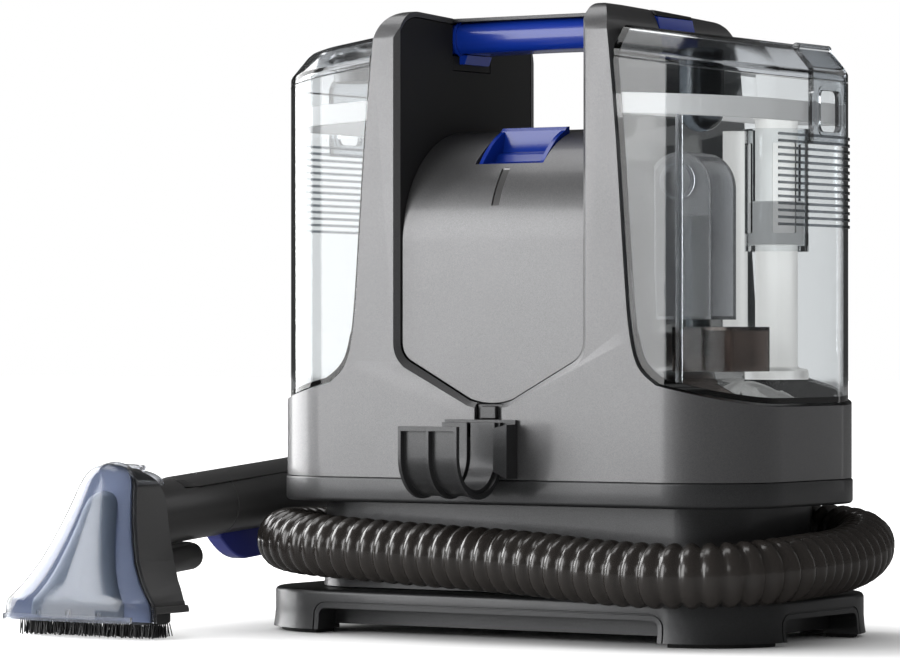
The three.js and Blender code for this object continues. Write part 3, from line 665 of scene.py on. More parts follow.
ROUTE = [
    (109.2, 84, 55.5), (123, 84.5, 55.2), (140, 80, 54), (154, 69, 52), (163, 51, 49.5),
    (168.5, 28, 46.5), (170.5, 2, 44.2), (171.5, -26, 43.6), (171, -50, 42.6), (163, -72, 41.2),
    (148, -89, 40.2), (126, -98.5, 39.8), (100, -100.5, 40.2), (72, -99, 41.5), (40, -96, 43.8),
    (6, -93, 45.2), (-30, -91, 46.5), (-66, -90.5, 48), (-98, -88.5, 49.5), (-124, -81, 50.5),
    (-147, -66, 51.5), (-161, -43, 51.5), (-166.5, -14, 51), (-165.5, 20, 49.5),
    (-160, 54, 46.5), (-149, 92, 41.5), (-127, 126, 28), (-96, 152, 19), (-64, 186, 18.6),
    (-52, 228, 18.6), (-66, 270, 18.6), (-102, 298, 18.6), (-148, 302, 18.6),
    (-190, 282, 18.6), (-214, 246, 19), (-221, 208, 27), (-217, 170, 46), (-209, 136, 67),
    (-204, 108, 80.5), (-203, 89, 82.4),
]


def centripetal(points, steps=16):
    """The centripetal Catmull-Rom curve through the points, as a fine line."""
    points = [Vector(p) for p in points]
    points = [2 * points[0] - points[1], *points, 2 * points[-1] - points[-2]]
    line = [points[1].copy()]
    for a, b, c, d in zip(points, points[1:], points[2:], points[3:]):
        t1 = math.sqrt((b - a).length)
        t2 = t1 + math.sqrt((c - b).length)
        t3 = t2 + math.sqrt((d - c).length)
        for i in range(1, steps + 1):
            t = t1 + (t2 - t1) * i / steps
            ab = a.lerp(b, t / t1)
            bc = b.lerp(c, (t - t1) / (t2 - t1))
            cd = c.lerp(d, (t - t2) / (t3 - t2))
            abc = ab.lerp(bc, t / t2)
            bcd = bc.lerp(cd, (t - t1) / (t3 - t1))
            line.append(abc.lerp(bcd, (t - t1) / (t2 - t1)))
    return line


def even_stations(line, step):
    """Points an even step apart along a fine line, with the line's length."""
    lengths = [0.0]
    for a, b in zip(line, line[1:]):
        lengths.append(lengths[-1] + (b - a).length)
    total = lengths[-1]
    count = max(2, round(total / step))
    stations, k = [], 0
    for i in range(count + 1):
        goal = total * i / count
        while k < len(lengths) - 2 and lengths[k + 1] < goal:
            k += 1
        part = (goal - lengths[k]) / max(1e-9, lengths[k + 1] - lengths[k])
        stations.append(line[k].lerp(line[k + 1], min(1, part)))
    return stations, total


class EXTRACTOR_OT_hose(bpy.types.Operator):
    """Winds the corrugated hose round the neck and lays its spare length behind the machine"""

    bl_idname = "extractor.hose"
    bl_label = "Hose"

    def execute(self, context):
        pitch = sizes().hose_pitch
        radius = sizes().hose_diameter / 2
        line = [placed(p) for p in centripetal(ROUTE)]
        # one corrugation: a broad round crest and a narrow groove
        crest = (0.84, 0.925, 0.985, 1.0, 0.985, 0.925)
        slots = len(crest)
        stations, total = even_stations(line, pitch / slots)
        ribs = max(1, (len(stations) - 1) // slots)
        stations, total = even_stations(line, total / (ribs * slots))
        sides = 28
        bm = bmesh.new()
        uv = bm.loops.layers.uv.new("along")
        tangents = [(stations[min(i + 1, len(stations) - 1)] - stations[max(i - 1, 0)]).normalized()
                    for i in range(len(stations))]
        across = tangents[0].cross(Vector((0, 0, 1))).normalized()
        rings = []
        for i, (place, ahead) in enumerate(zip(stations, tangents)):
            across = (across - ahead * across.dot(ahead)).normalized()
            up = ahead.cross(across)
            wide = radius * crest[i % slots]
            rings.append([bm.verts.new(
                place + across * (wide * math.cos(a)) + up * (wide * math.sin(a)))
                for a in (2 * math.pi * k / sides for k in range(sides))])
        for i, (low, high) in enumerate(zip(rings, rings[1:])):
            for k in range(sides):
                n = (k + 1) % sides
                face = bm.faces.new((low[k], low[n], high[n], high[k]))
                corners = ((k, i), (k + 1, i), (k + 1, i + 1), (k, i + 1))
                for loop, (u, v) in zip(face.loops, corners):
                    loop[uv].uv = (u / sides, v / slots)
        bm.faces.new(list(reversed(rings[0])))
        bm.faces.new(rings[-1])
        bmesh.ops.recalc_face_normals(bm, faces=bm.faces)
        mesh = bpy.data.meshes.new("corrugated_hose")
        bm.to_mesh(mesh)
        bm.free()
        for face in mesh.polygons:
            face.use_smooth = True
        mesh.materials.append(FINISH["smoke"])
        hose = bpy.data.objects.new("corrugated_hose", mesh)
        context.scene.collection.objects.link(hose)
        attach(hose, "machine")
        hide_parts("suction_hose")
        mouth = turning([(15.9, 92), (18.8, 92), (18.8, 104.6), (18.2, 105.4), (18.2, 107.2),
                         (18.8, 108), (15.9, 108)], (84, 55.5), "x", 48, closed=True)
        port = make_piece("port_cuff", mouth, "black", "machine", ["hose_cuff"], 0.4)
        r = TOOL_R
        cuff = turning([(r - 1, 241.8), (r + 0.3, 242), (r + 0.3, 247), (r - 0.5, 247.6),
                        (r - 0.5, 249), (r + 0.3, 249.6), (r + 0.3, 254), (r - 0.5, 254.6),
                        (r - 0.5, 256), (r + 0.3, 256.6), (r + 0.3, 261), (r - 0.4, 262)],
                       (0, 0), "y", 48)
        plug = make_piece("tool_end_cuff", on_handle(cuff), "dull_black", "machine",
                          ["tool_cuff"], 0)
        return {"FINISHED"}


# ------------------------------------------------------------------ base, neck and band

# plans are (width, depth, corner)
BASE_OUT = (331, 174, 50)
UNDER = 14.4           # underside of the base between its feet
FOOT_X, FOOT_Y = 111.5, 41.0
BODY_OUT = (320, 166, 50)
WELL = (272, 118, 30)  # the opening inside the neck and the band
RING_LOW, RING_HIGH = 75, 89


def soft_prism(width, depth, corner, low, high, top=0.0, bottom=0.0, steps=5, flare=0.0):
    """A rounded block in plan with quarter-round top and bottom edges."""
    rings = []
    for i in range(steps + 1 if bottom else 0):
        a = math.pi / 2 * i / steps
        inset = bottom * (1 - math.sin(a)) - flare
        rings.append((inset, low + bottom * (1 - math.cos(a))))
    if not bottom:
        rings.append((-flare, low))
    if flare:
        rings += [(-flare * 0.4, low + (high - low) * 0.18), (0, low + (high - low) * 0.45)]
    for i in range(steps + 1 if top else 0):
        a = math.pi / 2 * i / steps
        rings.append((top * (1 - math.cos(a)), high - top + top * math.sin(a)))
    if not top:
        rings.append((0, high))
    return stack([(rounded(*drawn_in((width, depth, corner), d)), z) for d, z in rings])


def arch_opening(half, top, corner, low=-20):
    """A flat-topped opening with rounded upper corners, as an outline."""
    return [(-half, low), (half, low), *arc(half - corner, top - corner, corner, 0, 90, 6),
            *arc(-half + corner, top - corner, corner, 90, 180, 6)]


class EXTRACTOR_OT_base(bpy.types.Operator):
    """Builds the footed base, its pads, the neck and the band under the body"""

    bl_idname = "extractor.base"
    bl_label = "Base and neck"

    def execute(self, context):
        plate = soft_prism(*BASE_OUT, 2.3, 25, top=2.6, flare=1.1)

        def openings(grow):
            return join(
                prism(arch_opening(FOOT_X + grow, UNDER + grow, 4 + grow), -120, 120, "y"),
                prism(arch_opening(FOOT_Y + grow, UNDER + grow, 4 + grow), -200, 200, "x"))

        line = meet(
            cut(openings(3.7), openings(2.9)),
            cut(prism(rounded(*drawn_in(BASE_OUT, -2)), -30, 22),
                prism(rounded(*drawn_in(BASE_OUT, 0.7)), -31, 23)))
        hollow = prism(rounded(*drawn_in(BASE_OUT, 21)), -5, 22)
        skirt = prism(rounded(*drawn_in(BASE_OUT, 17)), 5, UNDER + 2)
        plate = cut(join(cut(plate, openings(0)), skirt), line, hollow)
        make_piece("base", plate, "charcoal", "machine", ["base_plate"], 0.5)
        for side, sx in SIDES:
            for end, sy in (("front", -1), ("rear", 1)):
                pad = meet(soft_prism(*drawn_in(BASE_OUT, 3.5), 0, 2.1, bottom=0.8),
                           block(sx * (FOOT_X + 4), sx * 200, sy * (FOOT_Y + 4), sy * 200,
                                 -1, 5))
                pad = cut(pad, prism(rounded(*drawn_in(BASE_OUT, 21)), -5, 9))
                make_piece(f"foot_{end}_{side}", pad, "rubber", "machine",
                           [f"foot_pad_{end}_{side}"], 0.3)
        neck = cut(soft_prism(278, 124, 33, 25.3, 74.7, flare=1.4),
                   prism(rounded(*WELL), 20, 80),
                   rod("y", 50, 70, 15, (60, 55.5)))
        make_piece("neck", neck, "charcoal", "machine", ["neck_shell"], 0.4)
        band = soft_prism(*drawn_in(BODY_OUT, -0.6), RING_LOW, RING_HIGH, top=1.0, bottom=2.2)
        band = cut(band, prism(rounded(*WELL), 70, 95))
        make_piece("band", band, "charcoal", "machine", ["ring_band"], 0.4)
        return {"FINISHED"}


# ------------------------------------------------------------------ body and covers

INNER = 60.4           # inner face of the pylons
PYLON_TOP = 353
COVER = {"half": 57.4, "face": -79, "arc": 65, "y": -14, "z": 221, "tip": 132, "side": 158}


def pylon_edge(offset):
    """The curved outer edge of the right pylon, going up."""
    edge = smooth_line([(108, 142), (99, 149), (94, 158), (90.5, 175), (88, 202), (85.5, 237),
                        (83, 273), (80, 308), (77.5, 333)], 5)
    return [(x + offset, z) for x, z in edge]


def both_halves(right):
    """Closes a right-hand outline with its own reflection."""
    return right + [(-x, z) for x, z in reversed(right) if abs(x) > 1e-6]


def body_front(wall):
    """The body seen from the front, drawn in by a wall, as a block."""
    top = PYLON_TOP - wall
    low = RING_HIGH + 0.3 - (5 if wall else 0)
    inner = INNER - 2 * wall
    edge = [(x, z - wall if x > 90 else z) for x, z in pylon_edge(-wall)]
    right = [(0, low), (161, low), (161, 130 - wall), *edge,
             *bend((77.5 - wall, 333), (76 - wall, top - 1), (64, top), 8),
             (inner, top), *bend((inner, COVER["side"] + 8), (inner, COVER["side"]),
                                 (inner - 7.1, COVER["side"] - 3.8), 8),
             (14, COVER["tip"] + 1.2),
             *bend((14, COVER["tip"] + 1.2), (6, COVER["tip"] - 1), (0, COVER["tip"] - 1), 5)]
    return prism(both_halves(right), -100, 100, "y")


def crown(lower, left=-200, right=200):
    """The body seen from the side, lowered, as a block."""
    side = [(-100, 0), (100, 0), (100, 300), (63, 300), (62, 330),
            *bend((62, 330), (60, 347), (42, 348), 10), (-62, 353),
            *bend((-62, 353), (-78, 353), (-83, 337), 10), (-100, 300)]
    return prism([(y, z - lower) for y, z in side], left, right, "x")


def dome(inset, seam, half, low=100):
    """The cover between the pylons: upright below, round above, flat to the seam."""
    face = COVER["face"] + inset
    side = [(face, low), *arc(COVER["y"], COVER["z"], COVER["arc"] - inset, 180, 90, 32),
            (seam, COVER["z"] + COVER["arc"] - inset), (seam, low)]
    return prism(side, -half, half, "x")


def shield(grow, low=-100, high=60):
    """The front cover's outline, half a millimetre inside the body's opening plus grow."""
    half, side, foot = INNER - 0.5 + grow, COVER["side"] - grow, COVER["tip"] + 1.8 - grow
    right = [(14, foot), (half - 6.8, side - 3.3),
             *bend((half - 6.8, side - 3.3), (half, side + 0.3), (half, side + 8.3), 8),
             (half, 320)]
    point = bend((-14, foot), (0, foot - 4.6), (14, foot), 8)
    left = [(-x, z) for x, z in reversed(right)]
    return prism([*left, *point[:-1], *right], low, high, "y")


def opening_chamfer():
    """The slanted band round the front edge of the body's opening."""
    def outline(grow):
        half, side, foot = INNER + grow, COVER["side"] - 0.3 * grow, COVER["tip"] + 1.2 - grow
        right = [(14, foot), (half - 7.1, side - 3.8 - 0.6 * grow),
                 *bend((half - 7.1, side - 3.8 - 0.6 * grow), (half, side), (half, side + 8), 8),
                 (half, 400)]
        point = bend((-14, foot), (0, foot - 4.4), (14, foot), 8)
        return [*[(-x, z) for x, z in reversed(right)], *point[:-1], *right]

    return stack([(outline(3.2), -90), (outline(3.0), -83), (outline(0.02), -80.2),
                  (outline(0.01), -60)], "y")


def notch(sign):
    """The room for the strap in the top of one pylon."""
    return block(sign * (INNER - 6), sign * 120, -25.4, 14.4, 321.6, 400)


class EXTRACTOR_OT_body(bpy.types.Operator):
    """Builds the silver body with its two pylons and their dark inner liners"""

    bl_idname = "extractor.body"
    bl_label = "Body and pylons"

    def execute(self, context):
        outer = meet(body_front(0), prism(rounded(*BODY_OUT, steps=24), 79, 370), crown(0))
        inner = meet(body_front(3), prism(rounded(*drawn_in(BODY_OUT, 3)), 70, 370), crown(3))
        outer = cut(outer, block(-108, 108, 62, 100, 150, 400))
        inner = cut(inner, block(-120, 120, 59, 100, 147, 400))
        shell = cut(outer, inner, opening_chamfer(), notch(1), notch(-1),
                    block(-9, 9, -90, -74, 122, 131.5), rod("z", 110, 165, 9, VALVE_AT))
        make_piece("body", shell, "silver", "machine", ["body_shell"], 1.1, 3)
        for side, sign in SIDES:
            panel = meet(block(sign * INNER, sign * (INNER + 2.6), -79.6, 58.6, 164, 353),
                         crown(3.4))
            make_piece(f"liner_{side}", cut(panel, notch(sign)), "liner", "machine",
                       [f"pylon_liner_{side}"], 0.6)
        return {"FINISHED"}


LEVER = {"half": 21.4, "front": -60, "rear": -31}


class EXTRACTOR_OT_covers(bpy.types.Operator):
    """Builds the domed front and rear covers, the blue rocker, its lamp and the power inlet"""

    bl_idname = "extractor.covers"
    bl_label = "Covers and rocker"

    def execute(self, context):
        half = INNER - 0.5
        well = block(-22.4, 22.4, -61, -30, 240, 300)
        slot = prism([(-2.4, 240), (-2.4, 300), (2.4, 300), (2.4, 240)], -75.5, -63.5, "y")
        front = meet(cut(dome(0, -10, half), dome(3, -5, half + 1, 90)), shield(0))
        front = cut(front, well, slot)
        make_piece("front_cover", front, "silver", "machine", ["centre_cover"], 1.5, 3)
        lamp = meet(cut(dome(0.6, -10, half), dome(4, -5, half + 1, 90)),
                    prism([(-2.2, 240), (-2.2, 300), (2.2, 300), (2.2, 240)], -75.3, -63.7, "y"))
        make_piece("lamp", lamp, "black", "machine", ["status_lamp"], 0.2)

        half = COVER["half"]
        rear = cut(dome(0, 9.7, half), dome(3, 70, half + 1, 90))
        cheek = meet(dome(0, 9.7, half), block(-58, -half + 3, -200, -61, 100, 400))
        rear = meet(join(rear, cheek, mirrored(cheek)), shield(0, -100, 100))
        rear = mirrored(rear, 1)
        for i in range(9):
            z = 168 + 8 * i
            slat = arc(38.3, z + 1.7, 1.7, -90, 90, 6) + arc(-38.3, z + 1.7, 1.7, 90, 270, 6)
            rear = cut(rear, prism(slat, 60, 100, "y"))
        rear = cut(rear, block(-16, 16, 60, 100, 142, 160))
        make_piece("rear_cover", rear, "silver", "machine", ["rear_cover"], 0.7)
        inlet = join(block(-15.7, 15.7, 68, 80.5, 142.3, 159.7),
                     turning([(7, 79), (7, 83), (6.2, 83.4), (6.2, 84.4), (6.8, 84.8),
                              (6, 87.6), (5.2, 88), (5.2, 89), (5.6, 89.4), (5, 92)],
                             (0, 151), "y", 32))
        make_piece("power_inlet", inlet, "black", "machine", ["power_inlet"], 0.6)
        half = LEVER["half"]
        tray_side = [(-60, 261.5), (-59.4, 263.6), (-58, 265), (-54.5, 266.6), (-47.6, 266.2),
                     (-45, 267.6), (-43.4, 270.6), (-41, 272.4), (-38, 273), (-36.4, 276),
                     (-35.5, 285), (-33.6, 286.8), (-31, 287), (-31, 281), (-34, 268),
                     (-44, 262), (-56, 257.5)]
        cheek_side = [*smooth_line([(-60, 261.5), (-58.6, 266), (-52, 273.4), (-43, 280.8),
                                    (-31, 286.8)], 4), (-31, 281), (-34, 268), (-44, 262),
                      (-56, 257.5)]
        rocker = join(prism(tray_side, -half, half, "x"),
                      prism(cheek_side, -half, -half + 2.6, "x"),
                      prism(cheek_side, half - 2.6, half, "x"),
                      rod("x", -13, 13, 4, (-36, 266)))
        make_piece("rocker", rocker, "blue", "power_rocker", ["power_rocker"], 0.7, 3)
        return {"FINISHED"}


# ------------------------------------------------------------------ handle and cradle

class EXTRACTOR_OT_handle(bpy.types.Operator):
    """Builds the blue grip with its end flanges and the dark strap along its top"""

    bl_idname = "extractor.handle"
    bl_label = "Handle"

    def execute(self, context):
        reach = 69.8

        def sag(x):
            return 1.2 * (1 - (x / 77.5) ** 2)

        places = [-reach + 2 * reach * i / 24 for i in range(25)]
        grip = stack([(rounded(39, 18.4, 8.2, -5.5, 339.4 + sag(x), 8), x) for x in places], "x")
        for sign in (-1, 1):
            x0, x1 = sorted((sign * 58.4, sign * 60.2))
            grip = join(grip, prism(rounded(41.5, 20.8, 9.6, -5.5, 339.8, 10), x0, x1, "x"))
            clip = [(sign * 60.2, 330.4), (sign * 60.2, 325.2), (sign * 56.6, 325.2),
                    (sign * 54.6, 330.4)]
            grip = join(grip, prism(clip, -19, 7, "y"))
        make_piece("grip", grip, "blue", "machine", ["handle_grip"], 0.7, 3, 32)
        for side, sign in SIDES:
            end = [(sign * 70, 331), (sign * 77.2, 331), (sign * 76.9, 340), (sign * 75.3, 347.1),
                   (sign * 70.4, 348.6)]
            make_piece(f"grip_end_{side}", prism(end, -25.2, 14.2, "y"), "blue",
                       "machine", (), 0.3)
            sill = block(sign * (INNER + 0.2), sign * 69.6, -25.2, 14.2, 321.8, 329.9)
            make_piece(f"grip_sill_{side}", sill, "liner", "machine", (), 0.3)
        top = [(64, 352.4), *bend((64, 352.4), (73.4, 352.4), (75.2, 347.5), 8), (70.4, 349)]
        outline = [*top, *[(-x, z) for x, z in reversed(top)], (0, 352.9)]
        strap = meet(prism(outline, -25.1, 14.1, "y"), crown(0.1))
        make_piece("strap", strap, "charcoal", "machine", ["handle_strap"], 0.3)
        return {"FINISHED"}


class EXTRACTOR_OT_cradle(bpy.types.Operator):
    """Builds the ribbed hook that holds the hand tool on the front of the body"""

    bl_idname = "extractor.cradle"
    bl_label = "Tool cradle"

    def execute(self, context):
        rear, front, low, high = -85.6, -133, 79, 121
        mid, reach = (rear + front) / 2, (rear - front) / 2
        left, right = -27.0, 11.5
        rib = 1.9
        span = (right - left - rib) / 2

        def trough(inset, wall=3.0):
            out, inn = reach - inset, reach - wall
            outer = [(mid + reach, high), *arc(mid, low + reach, reach, 0, -60, 8),
                     *[(mid + (reach - inset * t) * math.cos(a), low + reach
                        + (reach - inset * t) * math.sin(a))
                       for t, a in ((i / 6, math.radians(-60 - 10 * i)) for i in range(1, 7))],
                     *arc(mid, low + reach, out, -130, -180, 8), (mid - out, high - 4.2),
                     (mid - reach, high - 4.2), (mid - reach, high - 1.6)]
            inner = [(mid - inn, high - 1.6), *arc(mid, low + reach, inn, 180, 360, 24),
                     (mid + inn, high)]
            return outer + inner

        rings = []
        for k in range(2):
            start = left + k * span
            rings += [(trough(0), start), (trough(0), start + rib),
                      (trough(3.4, 5.2), start + rib + 0.3), (trough(3.1, 5.0), start + span * 0.55),
                      (trough(3.4, 5.2), start + span - 0.3)]
        rings += [(trough(0), right - rib), (trough(0), right)]
        hook = stack(rings, "x")
        plate = block(left, 19.5, rear, rear + 2.3, 90, 122.5)
        gusset = prism([(right - 1, 94), (19.5, 90), (19.5, 120), (right - 1, 118)], rear - 9,
                       rear + 1, "y")
        hook = join(hook, plate, gusset)
        hook = cut(hook, block(-16, -3, rear - 4, rear + 1.4, 113, 120))
        make_piece("cradle", hook, "charcoal", "machine", ["tool_cradle"], 0.7, 2, 34)
        stub = join(block(-8.7, 8.7, -80, -78, 122.4, 131.2), block(-5, 5, -83, -79, 123, 130))
        make_piece("cradle_key", stub, "charcoal", "machine", ["cradle_stub"], 0.6)
        return {"FINISHED"}


# ------------------------------------------------------------------ tanks

SEAM, FALL, LID_TOP = 322.0, 12.0, 340.0
TANK_X = 80.0
TANK_OUT = (316, 162, 48)


def beside_pylon(low, high, offset):
    """The space outside the right pylon between two falling lines, as a closed form."""
    outer, clear = 162.0, 0.8 + offset
    if low is None:
        edge = [(x, z + clear if x > 95 else z) for x, z in pylon_edge(clear) if z < 325]
        outline = [(outer, 130 + clear), *edge, (TANK_X + clear - 0.5, high)]
    else:
        outline = [(outer, low - FALL), (TANK_X + offset, low), (TANK_X + offset, high)]
    outline.append((outer, high - FALL))
    return prism(outline, -100, 100, "y")


def tank_plan(inset, low=100, high=400):
    """A tank's plan, drawn in by the inset, as an upright block."""
    return prism(rounded(*drawn_in(TANK_OUT, inset), steps=24), low, high)


def tank_form():
    """The right tank: a thin shell that follows the pylon and the body's corner."""
    wall = 2.5
    return cut(meet(beside_pylon(None, SEAM, 0), tank_plan(0)),
               meet(beside_pylon(None, SEAM + 20, wall), tank_plan(wall)))


def sloped(mesh):
    """Lowers a form by the same fall as the tanks' tops."""
    slope = FALL / (162.0 - TANK_X)
    for vertex in mesh.vertices:
        vertex.co.z -= slope * (vertex.co.x - TANK_X)
    return mesh


def lid_form():
    """The right tank's lid, stepped at its rim and hollow below."""
    def cap(inset, top):
        width, depth, corner = (v + 1.2 - 2 * inset if i < 2 else v - inset
                                for i, v in enumerate(TANK_OUT))
        steps = [(0, 280), (0, top - 18.2), (0.9, top - 17.4), (0.9, top - 13.4), (1.6, top - 12),
                 (10.4, top - 2.2), (12.4, top - 0.7), (15, top)]
        return sloped(stack([(rounded(width - 2 * d, depth - 2 * d, max(corner - d, 4), steps=20),
                              z) for d, z in steps]))

    outer = meet(cap(0, LID_TOP), beside_pylon(SEAM + 0.3, LID_TOP + 10, 0))
    hollow = meet(cap(2.6, LID_TOP - 2.6), beside_pylon(SEAM - 5, LID_TOP + 10, 2.6))
    return cut(outer, hollow)


def seal_form():
    """The pale skirt that hangs from a lid inside the tank's mouth."""
    low, high = 291.0, 302.5
    region = [(161, low - 4), (TANK_X + 3, low), (TANK_X + 3, high), (161, high - 4)]
    ring = cut(meet(prism(region, -100, 100, "y"), tank_plan(3.2)),
               meet(prism([(150.5, 250), (TANK_X + 8, 250), (TANK_X + 8, 350), (150.5, 350)],
                          -100, 100, "y"), tank_plan(7.8)))
    keep = prism([(162, 320), (162, 270), (TANK_X + 4.6, 270), (TANK_X + 2.6, 320)],
                 -100, 100, "y")
    return meet(ring, keep)


def latch_form():
    """The right latch: a bent plate with a framed window and a pin at its top."""
    half = 19
    side = [(149.6, 327.3), (158.9, 316.5), (159.1, 316), (159.1, 275), (162.4, 275),
            (162.4, 316.4), (161.3, 318.5), (151.7, 329.3)]
    window = rounded(2 * half - 14, 23, 4, 0, 293.5, 6)
    rim = cut(prism(rounded(2 * half - 9, 28, 6, 0, 293.5, 6), 159.4, 163.2, "x"),
              prism(window, 150, 170, "x"))
    plate = join(prism(side, -half, half, "y"), rod("y", -half, half, 2.3, (151.3, 328.9), 24))
    plate = cut(plate, prism(window, 150, 170, "x"))
    return moved(join(plate, rim), Matrix.Translation((0, 15, 0)))


def repeat_group():
    """Geometry nodes: the object's own form, repeated upwards an even pitch apart."""
    group, start, end = new_group(
        "Repeat upwards",
        [("Geometry", "Geometry"), ("Count", "Int"), ("Pitch", "Float"),
         ("Material", "Material")],
        [("Geometry", "Geometry")], "GeometryNodeTree")
    step = add_node(group, "ShaderNodeCombineXYZ")
    line = add_node(group, "GeometryNodeMeshLine")
    place = add_node(group, "GeometryNodeInstanceOnPoints")
    solid = add_node(group, "GeometryNodeRealizeInstances")
    paint = add_node(group, "GeometryNodeSetMaterial")
    wire(group,
         (start, "Pitch", step, "Z"), (step, "Vector", line, "Offset"),
         (start, "Count", line, "Count"), (line, "Mesh", place, "Points"),
         (start, "Geometry", place, "Instance"), (place, "Instances", solid, "Geometry"),
         (solid, "Geometry", paint, "Geometry"), (start, "Material", paint, "Material"),
         (paint, "Geometry", end, "Geometry"))
    return group


def bristle_group():
    """Geometry nodes: a field of thin leaning hairs over a flat rectangle."""
    group, start, end = new_group(
        "Bristle field",
        [("Geometry", "Geometry"),
         *[(name, "Float") for name in ("Width", "Depth", "Length", "Thickness", "Lean")],
         *[(name, "Int") for name in ("Across", "Rows", "Seed")],
         ("Material", "Material")],
        [("Geometry", "Geometry")], "GeometryNodeTree")
    field = add_node(group, "GeometryNodeMeshGrid")
    hair = add_node(group, "GeometryNodeMeshCone", Vertices=6)
    turn = add_node(group, "FunctionNodeRandomValue", data_type="FLOAT_VECTOR")
    lean = add_node(group, "ShaderNodeCombineXYZ")
    back = add_node(group, "ShaderNodeVectorMath", operation="SCALE", Scale=-1)
    place = add_node(group, "GeometryNodeInstanceOnPoints")
    solid = add_node(group, "GeometryNodeRealizeInstances")
    paint = add_node(group, "GeometryNodeSetMaterial")
    joined = add_node(group, "GeometryNodeJoinGeometry")
    hang = add_node(group, "GeometryNodeTransform")
    drop = add_node(group, "ShaderNodeVectorMath", (0, 0, -1), operation="MULTIPLY")
    trim = add_node(group, "FunctionNodeRandomValue", data_type="FLOAT")
    trim.inputs[2].default_value = 0.86
    trim.inputs[3].default_value = 1.0
    wire(group,
         (start, "Width", field, "Size X"), (start, "Depth", field, "Size Y"),
         (start, "Across", field, "Vertices X"), (start, "Rows", field, "Vertices Y"),
         (start, "Length", hair, "Depth"), (start, "Thickness", hair, "Radius Bottom"),
         (start, "Thickness", hair, "Radius Top"),
         (start, "Lean", lean, "X"), (start, "Lean", lean, "Y"),
         (lean, "Vector", turn, "Max"), (lean, "Vector", back, 0),
         (back, "Vector", turn, "Min"), (start, "Seed", turn, "Seed"),
         (field, "Mesh", place, "Points"), (start, "Length", drop, 0),
         (drop, "Vector", hang, "Translation"), (hair, "Mesh", hang, "Geometry"),
         (hang, "Geometry", place, "Instance"), (start, "Seed", trim, "Seed"),
         (trim, 1, place, "Scale"), (turn, "Value", place, "Rotation"),
         (place, "Instances", solid, "Geometry"), (solid, "Geometry", joined, "Geometry"),
         (start, "Geometry", joined, "Geometry"), (joined, "Geometry", paint, "Geometry"),
         (start, "Material", paint, "Material"), (paint, "Geometry", end, "Geometry"))
    return group


def grown(name, mesh, group, values, body, stands_for=()):
    """Runs a geometry node group over a form and keeps the plain result."""
    holder = bpy.data.objects.new(name, mesh)
    bpy.context.scene.collection.objects.link(holder)
    modifier = holder.modifiers.new("repeat", "NODES")
    modifier.node_group = group
    for item in group.interface.items_tree:
        if item.in_out == "INPUT" and item.name in values:
            modifier[item.identifier] = values[item.name]
    applied(holder)
    bm = bmesh.new()
    bm.from_mesh(holder.data)
    bmesh.ops.recalc_face_normals(bm, faces=bm.faces)
    bm.to_mesh(holder.data)
    bm.free()
    holder.data.name = name
    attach(holder, body)
    if stands_for:
        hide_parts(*stands_for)
    return holder


def rib_form(sign, proud=0.9, height=1.5, low=229.5):
    """One grip rib lying along a tank's outer end."""
    width, depth, corner = TANK_OUT
    cx, cy = width / 2 - corner, depth / 2 - corner
    run = arc(cx, -cy, corner + 0.06, -4, 0, 3) + arc(cx, cy, corner + 0.06, 0, 36, 12)
    outer = arc(cx, -cy, corner + proud, -4, 0, 3) + arc(cx, cy, corner + proud, 0, 36, 12)
    outline = [(sign * x, y) for x, y in outer + list(reversed(run))]
    rib = prism(outline, low, low + height)
    rib.transform(Matrix.Translation(CENTRE) @ Matrix.Scale(MM, 4))
    return rib


def make_ribs(name, sign, body):
    """The grip ribs of one tank, repeated by the node group."""
    grown(name, rib_form(sign), GROUPS["repeat"], {
        "Count": sizes().rib_count, "Pitch": sizes().rib_pitch, "Material": FINISH["rib"]}, body)


class EXTRACTOR_OT_clean_tank(bpy.types.Operator):
    """Builds the clear left-hand tank with its lid, seal, cap, valve, latch and grip ribs"""

    bl_idname = "extractor.clean_tank"
    bl_label = "Clean water tank"

    def execute(self, context):
        shell = cut(mirrored(tank_form()), rod("z", 100, 150, 7, VALVE_AT))
        make_piece("left_tank", shell, "clear", "clean_tank", ["clean_tank"], 1.0, 3)
        make_ribs("left_tank_ribs", -1, "clean_tank")
        lid = cut(mirrored(lid_form()), rod("z", 300, 380, 18.6, CAP_AT, 64))
        make_piece("left_lid", lid, "lid", "clean_lid", ["clean_lid"], 0.6)
        make_piece("left_seal", mirrored(seal_form()), "seal", "clean_lid",
                   ["clean_seal"], 0.6)
        cap = turning([(8, 316), (14.5, 316), (14.5, 329.6), (17.4, 329.6), (18, 330.4),
                       (18, 333), (17.2, 334), (14, 334.2), (13.2, 332.6), (2, 332.4)],
                      CAP_AT)
        cap = join(cap, block(-135, -109, -32, -28, 331, 335.6))
        make_piece("cap", cap, "charcoal", "fill_cap", ["fill_cap"], 0.6)
        valve = turning([(2, 134), (3.4, 134.4), (4, 136), (4, 144.6), (10, 144.6), (11, 145.4),
                         (11, 147), (10, 148), (4, 148), (4, 155), (3, 156)], VALVE_AT)
        make_piece("valve", valve, "charcoal", "clean_valve", ["clean_valve"], 0)
        make_piece("left_latch", mirrored(latch_form()), "latch", "clean_latch",
                   ["clean_latch"], 0.7)
        return {"FINISHED"}


